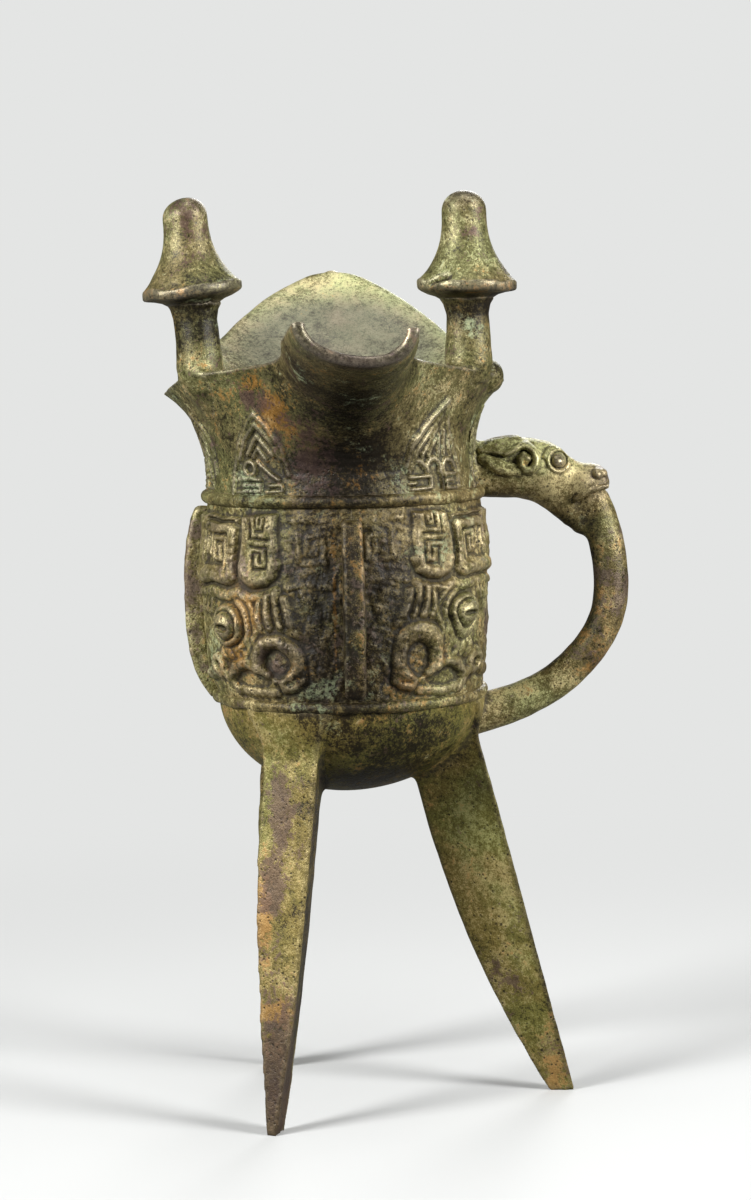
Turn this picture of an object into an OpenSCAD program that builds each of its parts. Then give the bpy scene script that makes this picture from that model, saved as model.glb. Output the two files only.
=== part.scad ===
// Bronze jue: a wine vessel on three blade legs, with a spout, a tail, two capped posts and a
// handle that an animal head bites. Millimetres. The cup's axis stands upright, the spout points
// to -Y, the tail to +Y and the handle to +X, and Z = 0 is the ground under the legs. The last
// step moves the whole model so that its origin lies in the middle of its outer box, on the ground.

/* [Cup] */
// Outer radius of the cup wall at the two borders
cup_r = 31.6; // [28:0.2:36]
// How far the wall swells outwards halfway between the borders
cup_swell = 1.7; // [0.5:0.1:3]
// Thickness of the cup wall
cup_wall = 2.6; // [2.4:0.1:3.4]
// Height of the lowest point of the round bottom above the ground
bottom_z = 74; // [60:1:90]
// Height of the round bottom, up to the lower border
bottom_h = 23; // [20:0.5:28]
// Height of the mask band, from the lower border to the upper border
band_h = 46.4; // [42:0.2:52]
// Height of the plain collar above the upper border, where the mouth is joined on
collar_h = 6.6; // [6:0.2:9]
// Outer radius of the collar at the joint
collar_r = 31.3; // [30.6:0.1:32]
// Radius of the round bead that forms each border
bead_r = 1.5; // [1:0.1:1.7]
// How far the bead's centre stands outside the wall
bead_out = 0.3; // [0:0.05:0.6]

/* [Mouth] */
// Half the width of the mouth at its widest place
mouth_half_w = 39.8; // [37:0.2:43]
// How far behind the cup's axis the widest place lies
mouth_wide_y = 8; // [4:0.5:12]
// Height of the rim at the widest place above the collar
mouth_rise = 18; // [15:0.5:22]
// How much the right rim stands above the left one, halved
mouth_tilt = 0.9; // [0:0.1:1.5]
// How far the mouth as a whole leans to the left
mouth_lean = 1.6; // [0:0.1:3]
// Width of the flat edge of the rim
rim_wall = 2.5; // [2:0.1:3]
// Half the distance between the rim's outer edges beside the two posts
post_rim_x = 34; // [32.5:0.2:35.5]
// Height of the rim beside the posts, above the collar
post_rim_rise = 21.4; // [19:0.2:24]

/* [Spout] */
// Distance from the cup's axis to the spout's lip
spout_reach = 80; // [72:1:90]
// Half the distance between the two horns of the lip
lip_half_w = 13.2; // [11:0.2:15]
// Height of the horns above the collar
horn_rise = 33.1; // [30:0.5:37]
// How much the left horn stands above the right one, halved
horn_tilt = 0.8; // [0:0.1:1.5]
// How far the lip's middle lies to the right of the cup's axis
lip_shift = 1.2; // [-2:0.1:3]
// How far the lip's lowest point lies to the right of the cup's axis
lip_low_x = 4.5; // [-2:0.5:6]
// Height of the lip's lowest point above the collar
lip_low_rise = 24.5; // [22:0.5:26]
// Half the width of the channel where it leaves the mouth
root_half_w = 16.2; // [14.5:0.2:18]
// Distance from the cup's axis to the place where the channel leaves the mouth
root_reach = 36; // [34:0.5:40]
// Height of the rim at that place, above the collar
root_rise = 25; // [23:0.5:27]

/* [Tail] */
// Distance from the cup's axis to the tail's point
tail_reach = 78; // [70:1:88]
// Height of the tail's point above the collar
tail_rise = 45.5; // [41:0.5:50]
// Half the width of the tail where it leaves the mouth
tail_root_half_w = 37.2; // [35:0.2:39]
// Distance from the cup's axis to that place
tail_root_reach = 28; // [25:0.5:31]
// Height of the rim at that place, above the collar
tail_root_rise = 20.4; // [19:0.2:22]
// How deep the tail is hollowed below its edges, halfway along
tail_hollow = 8; // [5:0.5:10]

/* [Legs] */
// Distance from the cup's axis to the outer face of the handle leg's tip
handle_leg_spread = 52.2; // [46:0.5:58]
// The same distance for the front and back legs on the left
left_leg_spread = 40; // [37:0.5:48]
// Distance from the cup's axis to a leg's outer face, at the top of the leg
leg_root_r = 29.4; // [28:0.2:30.6]
// Angle between the handle leg and each of the other two legs
leg_angle = 119; // [110:1:125]
// Width of a leg's outer face at the top
leg_w = 16; // [13:0.5:19]
// Depth of a leg at the top, from its outer face to its inner edge
leg_d = 17; // [14:0.5:19]
// Width of a leg's outer face at the tip
tip_w = 2.4; // [1.6:0.2:4]
// Depth of a leg at the tip
tip_d = 6; // [4:0.2:8]
// Width of the blunt inner edge of a leg
leg_edge = 1.4; // [0.8:0.1:1.6]
// Chamfer between a leg's outer face and its sides
leg_bevel = 0.7; // [0.3:0.1:0.8]

/* [Posts] */
// Half the distance between the two posts
post_x = 30.6; // [29.6:0.2:31.8]
// Distance of the posts in front of the cup's axis
post_y = 14; // [12:0.5:16]
// Radius of a post at its foot
post_foot_r = 5.4; // [5:0.1:5.8]
// Radius of a post under its cap
post_top_r = 5; // [4.6:0.1:5.2]
// Height of a post from the rim to its cap
post_h = 16.3; // [14:0.5:22]
// How far a post's foot runs down inside the mouth
post_foot_d = 5; // [4:0.5:7]
// Lean of the left post to the left, in degrees
left_post_lean = 4.5; // [0:0.5:6]
// Lean of the right post to the left, in degrees
right_post_lean = 1; // [0:0.5:3]
// Radius of the tenon that a cap sits on
post_tenon_r = 3; // [2.4:0.1:3.4]
// Height of that tenon
post_tenon_h = 8.5; // [6:0.5:11]

/* [Caps] */
// Radius of a cap's brim
cap_brim_r = 11.5; // [10:0.1:13]
// Radius of a cap's knob
cap_knob_r = 5.1; // [4.6:0.1:5.8]
// Height of a cap from its underside to the top of the knob
cap_h = 25.1; // [22:0.2:29]
// Height of the brim's edge above the cap's underside
cap_brim_z = 2.4; // [1.6:0.1:3.2]
// Thickness of the brim's edge
cap_brim_t = 2.6; // [2:0.1:3.4]

/* [Flanges] */
// Thickness of a flange
flange_t = 4.8; // [3.8:0.1:5.6]
// How far a flange stands out of the cup wall
flange_rise = 4.5; // [3.4:0.1:5.6]
// Depth of the groove in the wall that a flange is set in
flange_seat = 0.8; // [0.5:0.1:1]
// Angle of the front flange to the right of the spout's middle, in degrees
front_flange_a = 1.5; // [-2:0.5:3]
// Space between a flange's ends and the centres of the border beads
flange_end = 2.2; // [1.9:0.1:3]

/* [Handle] */
// Radius of the arc that the handle's bar follows
handle_arc_r = 28.2; // [26:0.2:31]
// Distance of the arc's centre outside the cup wall
handle_arc_out = 3.3; // [1:0.1:6]
// Height of the arc's centre above the lower border
handle_arc_rise = 27; // [24:0.5:30]
// Radius of the bar
bar_r = 3.7; // [3.2:0.1:4.2]
// Radius of the bar where it meets the cup
bar_foot_r = 4.1; // [3.6:0.1:4.5]
// Radius of the bar where the animal bites it
throat_r = 4.7; // [4.4:0.1:5.2]

/* [Animal head] */
// Height of the head's middle line above the collar joint, below when negative
head_rise = -1.5; // [-2:0.1:-1]
// Height of the neck behind the ears
head_h = 14.2; // [12:0.2:15]
// Width of the head across the ears
head_w = 14.6; // [13:0.2:17]
// How far the muzzle stands out past the middle of the bar
muzzle_out = 3.6; // [2.6:0.1:4.4]
// Radius of an eye
head_eye_r = 2.2; // [1.8:0.1:2.6]

/* [Masks] */
// How far the horns stand out of the wall
horn_relief = 1.3; // [0.8:0.1:2]
// Width of a horn's raised bands
horn_band = 2.6; // [1.8:0.1:3]
// Radius of a mask's eye boss
mask_eye_r = 4.1; // [3.4:0.1:4.6]
// Radius of the curl at the corner of the jaw
jaw_r = 3.6; // [3:0.1:4.2]
// Radius of the raised band that forms the curl
jaw_band_r = 1.2; // [0.8:0.1:1.4]

/* [Joints] */
// Radius of the dowels that locate the legs
leg_dowel_r = 2.5; // [2:0.1:3]
// Radius of the dowels that locate the handle and the head
handle_dowel_r = 2; // [1.6:0.1:2.1]
// Depth of a dowel in the cup wall
dowel_d = 1.5; // [1:0.1:1.7]
// Play all round a dowel, a tongue or a tenon
play = 0.15; // [0.1:0.05:0.3]
// Height of the ring on the collar that the mouth pieces fit over
ring_h = 1.2; // [0.8:0.1:1.6]
// Thickness of that ring
ring_t = 0.9; // [0.7:0.1:1]

/* [Hidden] */
$fn = 64;
// Colours of the old bronze, as the parts show it
olive = "#7c7446";
ochre = "#93824a";
umber = "#5f5238";
// Long enough to reach right through the part that a cut is made in
through = 60;
// Overlap that lets two solids of one piece become one
sink = 0.5;

lower_z = bottom_z + bottom_h;
upper_z = lower_z + band_h;
joint_z = upper_z + collar_h;
left = -1;
right = 1;

// Steps along each curve of the cup's outline and of the mouth's surface
bottom_steps = 12;
band_steps = 10;
wall_rows = 7;
spout_rows = 12;
tail_rows = 12;
wall_columns = 16;
channel_columns = 20;

// Half the arc of the collar that the spout and the tail each take up, in degrees
spout_arc = 35;
tail_arc = 45;
// Places along the rim, counted as points of its curve
rim_at_root = 2;
rim_at_tail = 5;
rim_near_point = 7.85;

// Outer radius of the wall at a height in the mask band
function wall_r(z) = cup_r + cup_swell * sin(180 * (z - lower_z) / band_h);

// A point of the round bottom, with the angle counted from its lowest point
function bottom_point(a, inset = 0) =
    [(cup_r - inset) * sin(a), lower_z - (bottom_h - inset) * cos(a)];

// Slope of the round bottom's surface normal at that angle, below the horizontal
function bottom_slope(a) = atan2(cos(a) / bottom_h, sin(a) / cup_r);

// The cup's outline from the axis at the bottom to the collar, pushed inwards by an inset
function cup_outline(inset) = concat(
    [for (i = [0 : bottom_steps]) bottom_point(90 * i / bottom_steps, inset)],
    [for (i = [1 : band_steps])
        let (z = lower_z + band_h * i / band_steps) [wall_r(z) - inset, z]],
    [[collar_r - inset, joint_z]]
);

function reversed(list) = [for (i = [len(list) - 1 : -1 : 0]) list[i]];

module border_bead_outline(z) {
    translate([cup_r + bead_out, z]) circle(r = bead_r);
}

// The cup and its borders without any hollow, for cutting what is seated on them
module body_blank() {
    rotate_extrude($fn = 192) union() {
        polygon(concat(cup_outline(0), [[0, joint_z]]));
        border_bead_outline(lower_z);
        border_bead_outline(upper_z);
    }
}

// Moves a piece whose outward direction is +X to an angle round the cup
module around(angle) {
    rotate([0, 0, angle]) children();
}

// A round rod between two points of the XZ plane
module rod(from, to, r) {
    d = to - from;
    translate([from[0], 0, from[1]])
        rotate([0, atan2(d[0], d[1]), 0])
            cylinder(h = norm(d), r = r);
}

// A dowel that stands at a right angle on the wall at a point whose normal slopes down by an angle
module dowel(point, slope, r, outside) {
    n = [cos(slope), -sin(slope)];
    rod(point - dowel_d * n, point + outside * n, r);
}

// The socket for that dowel
module dowel_socket(point, slope, r) {
    n = [cos(slope), -sin(slope)];
    rod(point - (dowel_d + play) * n, point + through / 8 * n, r + play);
}

// Cup

leg_dowel_a = 56;
bar_dowel_a = 76;
head_dowel_z = joint_z - (collar_h - bead_r) / 2 - 0.2;
ring_mid_r = collar_r - cup_wall / 2;

module cup() {
    color(olive) difference() {
        union() {
            rotate_extrude() difference() {
                polygon(concat(cup_outline(0), reversed(cup_outline(cup_wall))));
                border_bead_outline(lower_z);
                border_bead_outline(upper_z);
            }
            rotate_extrude() translate([ring_mid_r - ring_t / 2, joint_z - sink])
                square([ring_t, ring_h + sink]);
        }
        for (a = [180, 90, front_flange_a - 90]) around(a) flange_groove();
        for (a = [0, leg_angle, -leg_angle]) around(a)
            dowel_socket(bottom_point(leg_dowel_a), bottom_slope(leg_dowel_a), leg_dowel_r);
        dowel_socket(bottom_point(bar_dowel_a), bottom_slope(bar_dowel_a), handle_dowel_r);
        dowel_socket([collar_r, head_dowel_z], 0, handle_dowel_r);
    }
}

module border(z) {
    color(olive) rotate_extrude() border_bead_outline(z);
}

module upper_border() {
    border(upper_z);
}

module lower_border() {
    border(lower_z);
}

// Mouth: the rim is one curve per side, from the spout's horn along the channel and the mouth
// to the tail's point. The wall between the collar and the rim is cut into four pieces.

function rim_points(side) = let (
    horn = [lip_shift + side * lip_half_w, -spout_reach, joint_z + horn_rise - side * horn_tilt],
    root = [side * root_half_w, -root_reach, joint_z + root_rise],
    post = [side * post_rim_x - mouth_lean, -post_y - 2, joint_z + post_rim_rise],
    wide = [side * mouth_half_w - mouth_lean, mouth_wide_y, joint_z + mouth_rise + side * mouth_tilt],
    tail_root = [side * tail_root_half_w - mouth_lean / 2, tail_root_reach, joint_z + tail_root_rise],
    point = [0, tail_reach, joint_z + tail_rise],
    near = [side * tail_root_half_w * 0.42, lerp(tail_root_reach, tail_reach, 0.87),
        joint_z + lerp(tail_root_rise, tail_rise, 0.76)],
    half_way = [side * tail_root_half_w * 0.77, lerp(tail_root_reach, tail_reach, 0.58),
        joint_z + lerp(tail_root_rise, tail_rise, 0.35)],
    far = [-near[0], near[1], near[2]]
) [horn, lerp(horn, root, 0.5) + [0, 0, 0.7], root, post, wide, tail_root, half_way, near, point, far];

function lerp(a, b, t) = a + (b - a) * t;

// A smooth curve through a list of points, which passes point i at s = i
function curve(p, s) = let (
    i = min(floor(s), len(p) - 3),
    t = s - i,
    p0 = i > 0 ? p[i - 1] : 2 * p[0] - p[1],
    p1 = p[i],
    p2 = p[i + 1],
    p3 = p[i + 2]
) 0.5 * (2 * p1 + t * (p2 - p0) + t * t * (2 * p0 - 5 * p1 + 4 * p2 - p3)
    + t * t * t * (3 * p1 - p0 - 3 * p2 + p3));

// A point of the rim. inset 0 is its outer edge and inset 1 its inner edge.
function rim(side, s, inset) = let (
    p = rim_points(side),
    step = 0.01,
    d = curve(p, s + step) - curve(p, max(s - step, 0)),
    n = side * [-d[1], d[0]] / norm([d[0], d[1]])
) curve(p, s) + inset * rim_wall * [n[0], n[1], 0];

// A curve from p0 in the direction d0 to p1 in the direction d1
function bend(p0, d0, p1, d1, t) =
    p0 * (2 * t * t * t - 3 * t * t + 1) + d0 * (t * t * t - 2 * t * t + t)
    + p1 * (3 * t * t - 2 * t * t * t) + d1 * (t * t * t - t * t);

// The wall beside the mouth rises upright from the collar and flares out to the rim
function wall_point(side, s, t, inset) = let (
    r = collar_r - inset * cup_wall,
    a = lerp(spout_arc - 90, 90 - tail_arc, (s - rim_at_root) / (rim_at_tail - rim_at_root)),
    foot = [side * r * cos(a), r * sin(a), joint_z],
    edge = rim(side, s, inset),
    rise = edge[2] - joint_z
) bend(foot, [0, 0, 0.9 * rise], edge,
    [2 * (edge[0] - foot[0]), 2 * (edge[1] - foot[1]), 0.9 * rise], t);

// A cubic curve in the YZ plane, given by its four control points, and its normal towards
// the inside of the mouth
function cubic(c, t) = c[0] * pow(1 - t, 3) + c[1] * 3 * t * pow(1 - t, 2)
    + c[2] * 3 * t * t * (1 - t) + c[3] * t * t * t;
function cubic_slope(c, t) = (c[1] - c[0]) * pow(1 - t, 2) + (c[2] - c[1]) * 2 * t * (1 - t)
    + (c[3] - c[2]) * t * t;

spout_line = [
    [-collar_r, joint_z],
    [-collar_r - 1.5, joint_z + lip_low_rise * 0.42],
    [-lerp(collar_r, spout_reach, 0.52), joint_z + lip_low_rise * 0.78],
    [-spout_reach, joint_z + lip_low_rise]
];
tail_line = [
    [collar_r, joint_z],
    [collar_r + 1.5, joint_z + tail_rise * 0.25],
    [lerp(collar_r, tail_reach, 0.66), joint_z + tail_rise * 0.82 - tail_hollow * 1.3],
    [tail_reach, joint_z + tail_rise]
];

// The lowest line of the spout, and of the tail
function spout_mid(t, inset) = let (
    p = cubic(spout_line, t),
    d = cubic_slope(spout_line, t),
    n = [d[1], -d[0]] / norm(d),
    wall = lerp(cup_wall, rim_wall, t)
) [lip_low_x * t * t, p[0] + inset * wall * n[0], p[1] + inset * wall * n[1]];

function tail_mid(t, inset) = let (
    p = cubic(tail_line, t),
    d = cubic_slope(tail_line, t),
    n = lerp([-d[1], d[0]] / norm(d), [-1, 0], pow(t, 3)),
    wall = lerp(cup_wall, rim_wall, t)
) [0, p[0] + inset * wall * n[0], p[1] + inset * wall * n[1]];

// A point on the arc that hangs between two edge points, with its middle at mid.
// u runs from -1 at the left edge to 1 at the right edge, and half_arc sets how full the arc is.
function hang(left_edge, right_edge, mid, half_arc, u) = let (
    edge = u < 0 ? left_edge : right_edge,
    a = abs(u) * half_arc,
    across = sin(a) / sin(half_arc),
    up = (1 - cos(a)) / (1 - cos(half_arc))
) [lerp(mid[0], edge[0], across), lerp(mid[1], edge[1], up), lerp(mid[2], edge[2], up)];

function spout_edge(side, j, inset) = j <= wall_rows
    ? wall_point(side, rim_at_root, j / wall_rows, inset)
    : rim(side, rim_at_root * (1 - (j - wall_rows) / spout_rows), inset);
function spout_point(j, u, inset) = let (
    t = j / (wall_rows + spout_rows)
) hang(spout_edge(left, j, inset), spout_edge(right, j, inset), spout_mid(t, inset),
    spout_arc + (88 - spout_arc) * sin(90 * t), u);

function tail_edge(side, j, inset) = j <= wall_rows
    ? wall_point(side, rim_at_tail, j / wall_rows, inset)
    : rim(side, lerp(rim_at_tail, rim_near_point, (j - wall_rows) / tail_rows), inset);
function tail_point(j, u, inset) = let (
    t = j / (wall_rows + tail_rows)
) hang(tail_edge(left, j, inset), tail_edge(right, j, inset), tail_mid(t, inset),
    tail_arc + 10 * t, u);

// A closed shell between an outer and an inner grid of points, both given row by row from the
// bottom up and anticlockwise as seen from above
module shell(outer, inner) {
    rows = len(outer) - 1;
    columns = len(outer[0]) - 1;
    width = columns + 1;
    layer = (rows + 1) * width;
    points = concat(
        [for (row = outer) each row],
        [for (row = inner) each row]
    );
    faces = concat(
        [for (j = [0 : rows - 1], i = [0 : columns - 1]) let (a = j * width + i)
            each [[a, a + width, a + width + 1], [a, a + width + 1, a + 1]]],
        [for (j = [0 : rows - 1], i = [0 : columns - 1]) let (a = layer + j * width + i)
            each [[a, a + width + 1, a + width], [a, a + 1, a + width + 1]]],
        [for (i = [0 : columns - 1])
            each [[i, i + 1, layer + i + 1], [i, layer + i + 1, layer + i]]],
        [for (i = [0 : columns - 1]) let (a = rows * width + i)
            each [[a + 1, a, layer + a], [a + 1, layer + a, layer + a + 1]]],
        [for (j = [0 : rows - 1]) let (a = j * width)
            each [[a + width, a, layer + a], [a + width, layer + a, layer + a + width]]],
        [for (j = [0 : rows - 1]) let (a = j * width + columns)
            each [[a, a + width, layer + a + width], [a, layer + a + width, layer + a]]]
    );
    polyhedron(points = points, faces = faces);
}

// A closed solid through a row of rings of points, each anticlockwise as seen from the next one
module skin(rings) {
    n = len(rings[0]);
    last = len(rings) - 1;
    faces = concat(
        [[for (i = [0 : n - 1]) i]],
        [reversed([for (i = [0 : n - 1]) last * n + i])],
        [for (k = [0 : last - 1], i = [0 : n - 1]) let (a = k * n, b = (i + 1) % n)
            each [[a + i, a + n + i, a + n + b], [a + i, a + n + b, a + b]]]
    );
    polyhedron(points = [for (ring = rings) each ring], faces = faces);
}

// The groove under a mouth piece that takes the ring on the collar
module ring_groove() {
    rotate_extrude() translate([ring_mid_r - ring_t / 2 - play, joint_z - sink])
        square([ring_t + 2 * play, ring_h + play + sink]);
}

module spout() {
    color(umber) difference() {
        shell(
            [for (j = [0 : wall_rows + spout_rows])
                [for (i = [0 : channel_columns]) spout_point(j, 2 * i / channel_columns - 1, 0)]],
            [for (j = [0 : wall_rows + spout_rows])
                [for (i = [0 : channel_columns]) spout_point(j, 2 * i / channel_columns - 1, 1)]]
        );
        ring_groove();
    }
}

module tail() {
    color(ochre) difference() {
        shell(
            [for (j = [0 : wall_rows + tail_rows])
                [for (i = [0 : channel_columns]) tail_point(j, 1 - 2 * i / channel_columns, 0)]],
            [for (j = [0 : wall_rows + tail_rows])
                [for (i = [0 : channel_columns]) tail_point(j, 1 - 2 * i / channel_columns, 1)]]
        );
        ring_groove();
    }
}

// The wall between the spout and the tail on one side. An outset below 0 makes it thicker on
// the outside, for cutting a post's foot to the wall.
module mouth_wall_shell(side, outset) {
    function place(i) = let (t = i / wall_columns)
        lerp(rim_at_root, rim_at_tail, side == right ? t : 1 - t);
    shell(
        [for (j = [0 : wall_rows])
            [for (i = [0 : wall_columns]) wall_point(side, place(i), j / wall_rows, outset)]],
        [for (j = [0 : wall_rows])
            [for (i = [0 : wall_columns]) wall_point(side, place(i), j / wall_rows, 1)]]
    );
}

module mouth_wall(side) {
    color(olive) difference() {
        mouth_wall_shell(side, 0);
        ring_groove();
    }
}

module left_mouth_wall() {
    mouth_wall(left);
}

module right_mouth_wall() {
    mouth_wall(right);
}

// Posts and caps

// Moves a piece to the top of the rim where a post stands, and leans it as the post leans
module at_post(side) {
    lean = side == left ? left_post_lean : right_post_lean;
    translate([side * post_x - mouth_lean, -post_y, joint_z + post_rim_rise])
        rotate([0, -lean, 0]) children();
}

module post(side) {
    color(ochre) difference() {
        at_post(side) union() {
            translate([0, 0, -post_foot_d])
                cylinder(h = post_foot_d + post_h, r1 = post_foot_r, r2 = post_top_r);
            translate([0, 0, post_h - sink])
                cylinder(h = post_tenon_h + sink, r = post_tenon_r);
        }
        mouth_wall_shell(side, -3);
    }
}

module left_post() {
    post(left);
}

module right_post() {
    post(right);
}

// Outline of a cap: a thick brim that sweeps up to a round knob
cap_sweep_z = cap_brim_z + cap_brim_t;
cap_knob_z = cap_h - cap_knob_r;
cap_outline = concat(
    [[0, 0], [post_top_r, 0], [cap_brim_r - 1.2, cap_brim_z - 0.2], [cap_brim_r - 0.2, cap_brim_z + 0.6],
        [cap_brim_r, cap_brim_z + cap_brim_t / 2]],
    [for (i = [0 : 12]) let (t = i / 12)
        [lerp(cap_knob_r, cap_brim_r - 0.3, pow(1 - t, 2.6)), lerp(cap_sweep_z, cap_knob_z, t)]],
    [for (a = [10 : 10 : 90]) [cap_knob_r * cos(a), cap_knob_z + cap_knob_r * sin(a)]]
);

module post_cap(side) {
    color(ochre) at_post(side) translate([0, 0, post_h]) difference() {
        rotate_extrude() polygon(cap_outline);
        translate([0, 0, -sink]) cylinder(h = post_tenon_h + play + sink, r = post_tenon_r + play);
    }
}

module left_post_cap() {
    post_cap(left);
}

module right_post_cap() {
    post_cap(right);
}

// Flanges

flange_z0 = lower_z + flange_end;
flange_z1 = upper_z - flange_end;
flange_steps = 14;

// Height of a flange's crest above the wall, with t from 0 at its foot to 1 at its head
function flange_crest(t) = flange_rise * pow(max(sin(180 * t), 0.02), 0.13);

// Outline of a flange in the plane of the cup's axis, from its seat in the wall to its crest
module flange_outline(extra) {
    zs = [for (i = [0 : flange_steps]) lerp(flange_z0 - extra, flange_z1 + extra, i / flange_steps)];
    polygon(concat(
        [for (z = zs) [wall_r(z) - flange_seat, z]],
        [for (z = reversed(zs)) let (t = (z - flange_z0) / (flange_z1 - flange_z0))
            [wall_r(z) + flange_crest(t), z]]
    ));
}

module flange_plate(thickness, extra) {
    translate([0, thickness / 2, 0]) rotate([90, 0, 0])
        linear_extrude(height = thickness) flange_outline(extra);
}

module flange_groove() {
    flange_plate(flange_t + 2 * play, play);
}

module flange(angle) {
    color(umber) around(angle) flange_plate(flange_t, 0);
}

module front_flange() {
    flange(front_flange_a - 90);
}

module back_flange() {
    flange(90);
}

module left_flange() {
    flange(180);
}

// Legs: blades with a flat outer face and a blunt inner edge, which taper faster near the tip

leg_top_z = bottom_point(70)[1];
leg_steps = 9;

// The outline of a leg at a height, as seen from above with the outward direction along +X
function leg_outline(z, spread) = let (
    t = z / leg_top_z,
    full = 1 - pow(1 - t, 1.9),
    out = lerp(spread, leg_root_r, t),
    w = lerp(tip_w, leg_w, full),
    d = lerp(tip_d, leg_d, 1 - pow(1 - t, 2.4)),
    bevel = leg_bevel * (0.4 + 0.6 * full),
    edge = leg_edge * (0.5 + 0.5 * full)
) [
    [out, -w / 2 + bevel],
    [out, w / 2 - bevel],
    [out - bevel, w / 2],
    [out - d, edge / 2],
    [out - d, -edge / 2],
    [out - bevel, -w / 2]
];

module leg_blade(spread) {
    skin([for (k = [0 : leg_steps]) let (z = leg_top_z * k / leg_steps)
        [for (p = leg_outline(z, spread)) [p[0], p[1], z]]]);
}

module leg(angle, spread) {
    color(ochre) union() {
        difference() {
            around(angle) leg_blade(spread);
            body_blank();
        }
        around(angle) dowel(bottom_point(leg_dowel_a), bottom_slope(leg_dowel_a), leg_dowel_r, 1.5);
    }
}

module handle_leg() {
    difference() {
        leg(0, handle_leg_spread);
        bar_blank(play);
    }
}

module front_left_leg() {
    leg(-leg_angle, left_leg_spread);
}

module back_left_leg() {
    leg(leg_angle, left_leg_spread);
}

// Handle: an arc of round bar, with a straight run to the cup at its foot and a thicker throat
// that ends in the animal's mouth

arc_x = cup_r + handle_arc_out;
arc_z = lower_z + handle_arc_rise;
head_z = joint_z + head_rise;
// The ends of the bar, in the animal's mouth and inside the cup wall
bite = [arc_x + handle_arc_r - 4.2, head_z - 5.2];
bar_foot = bottom_point(bar_dowel_a) - [1.5, 0.75];

function arc_point(a) = [arc_x + handle_arc_r * cos(a), arc_z + handle_arc_r * sin(a)];

// Angle on the arc where a straight run from a point touches it, above or below the point
function touch_angle(p, turn) = let (d = p - [arc_x, arc_z])
    atan2(d[1], d[0]) + turn * acos(handle_arc_r / norm(d));
arc_low_a = touch_angle(bar_foot, 1);
arc_high_a = touch_angle(bite, -1);

bar_steps = 20;
bar_sides = 32;

// A ring of points round the bar's middle line, square to it where it has an angle of a
function bar_ring(p, a, r) = [for (i = [0 : bar_sides - 1]) let (b = 360 * i / bar_sides)
    [p[0] + r * cos(b) * cos(a), r * sin(b), p[1] + r * cos(b) * sin(a)]];

// extra makes the bar thicker all round, for the socket in the animal's mouth
module bar_blank(extra) {
    skin(concat(
        [bar_ring(bar_foot, arc_low_a, bar_foot_r + extra)],
        [for (i = [0 : bar_steps]) let (a = lerp(arc_low_a, arc_high_a, i / bar_steps))
            bar_ring(arc_point(a), a, bar_r + extra)],
        [bar_ring(bite, arc_high_a, throat_r + extra)]
    ));
}

module handle_bar() {
    color(ochre) union() {
        difference() {
            bar_blank(0);
            body_blank();
        }
        dowel(bottom_point(bar_dowel_a), bottom_slope(bar_dowel_a), handle_dowel_r, 2);
    }
}

// Animal head: rings of an egg-shaped outline along the head, from the collar to the muzzle

head_start = collar_r - cup_wall / 2;
head_end = bite[0] + muzzle_out;
head_sides = 16;
// Each row: place along the head from 0 to 1, top and bottom from its middle line in shares of
// head_h, and half width in shares of head_w
head_rows = [
    [0, 0.50, -0.46, 0.46],
    [0.2, 0.53, -0.48, 0.48],
    [0.38, 0.54, -0.47, 0.5],
    [0.5, 0.53, -0.49, 0.5],
    [0.6, 0.47, -0.56, 0.48],
    [0.68, 0.36, -0.76, 0.43],
    [0.735, 0.24, -1.04, 0.38],
    [0.78, 0.12, -1.0, 0.36],
    [0.86, 0.07, -0.56, 0.34],
    [0.93, 0.06, -0.45, 0.31],
    [0.98, 0.0, -0.36, 0.25],
    [1, -0.08, -0.3, 0.15]
];

function head_ring(row) = let (
    x = lerp(head_start, head_end, row[0]),
    mid = head_z + head_h * (row[1] + row[2]) / 2,
    half = head_h * (row[1] - row[2]) / 2
) [for (i = [0 : head_sides - 1]) let (a = 360 * i / head_sides)
    [x, head_w * row[3] * cos(a), mid + half * sin(a)]];

module head_blank() {
    skin([for (row = head_rows) head_ring(row)]);
}

module animal_head() {
    color(ochre) union() {
        difference() {
            head_blank();
            body_blank();
            mouth_wall_shell(right, 0);
            bar_blank(play);
        }
        dowel([collar_r, head_dowel_z], 0, handle_dowel_r, 2);
    }
}

ear_x = lerp(head_start, head_end, 0.37);
eye_x = lerp(head_start, head_end, 0.6);

module head_ears() {
    color(ochre) difference() {
        for (side = [left, right]) {
            hull() {
                translate([ear_x - 8, side * head_w * 0.43, head_z + 3]) sphere(r = 0.8, $fn = 20);
                translate([ear_x - 1, side * head_w * 0.47, head_z + 2.5]) sphere(r = 2.2, $fn = 20);
            }
            translate([ear_x + 1, side * head_w * 0.47, head_z + 2]) rotate([90, 0, 0])
                rotate_extrude() translate([1.9, 0]) circle(r = 1.1);
        }
        head_blank();
    }
}

module head_eyes() {
    color(umber) difference() {
        for (side = [left, right])
            translate([eye_x, side * head_w * 0.4, head_z + 1.5]) sphere(r = head_eye_r);
        head_blank();
    }
}

// Masks: two animal faces, one centred on the left flange and one on the handle. Each half
// mask has a hooked horn, a plain horn, an eye boss and a curled jaw.

eye_z = lower_z + band_h * 0.38;
jaw_z = lower_z + band_h * 0.17;
horn_z0 = lower_z + band_h * 0.55;
horn_z1 = upper_z - band_h * 0.09;
hook_a0 = 17;
hook_a1 = 40;
plume_a0 = 42;
plume_a1 = 62;
eye_a = 37;
jaw_a = 62;
band_a = horn_band / cup_r * 57.3;

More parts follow.
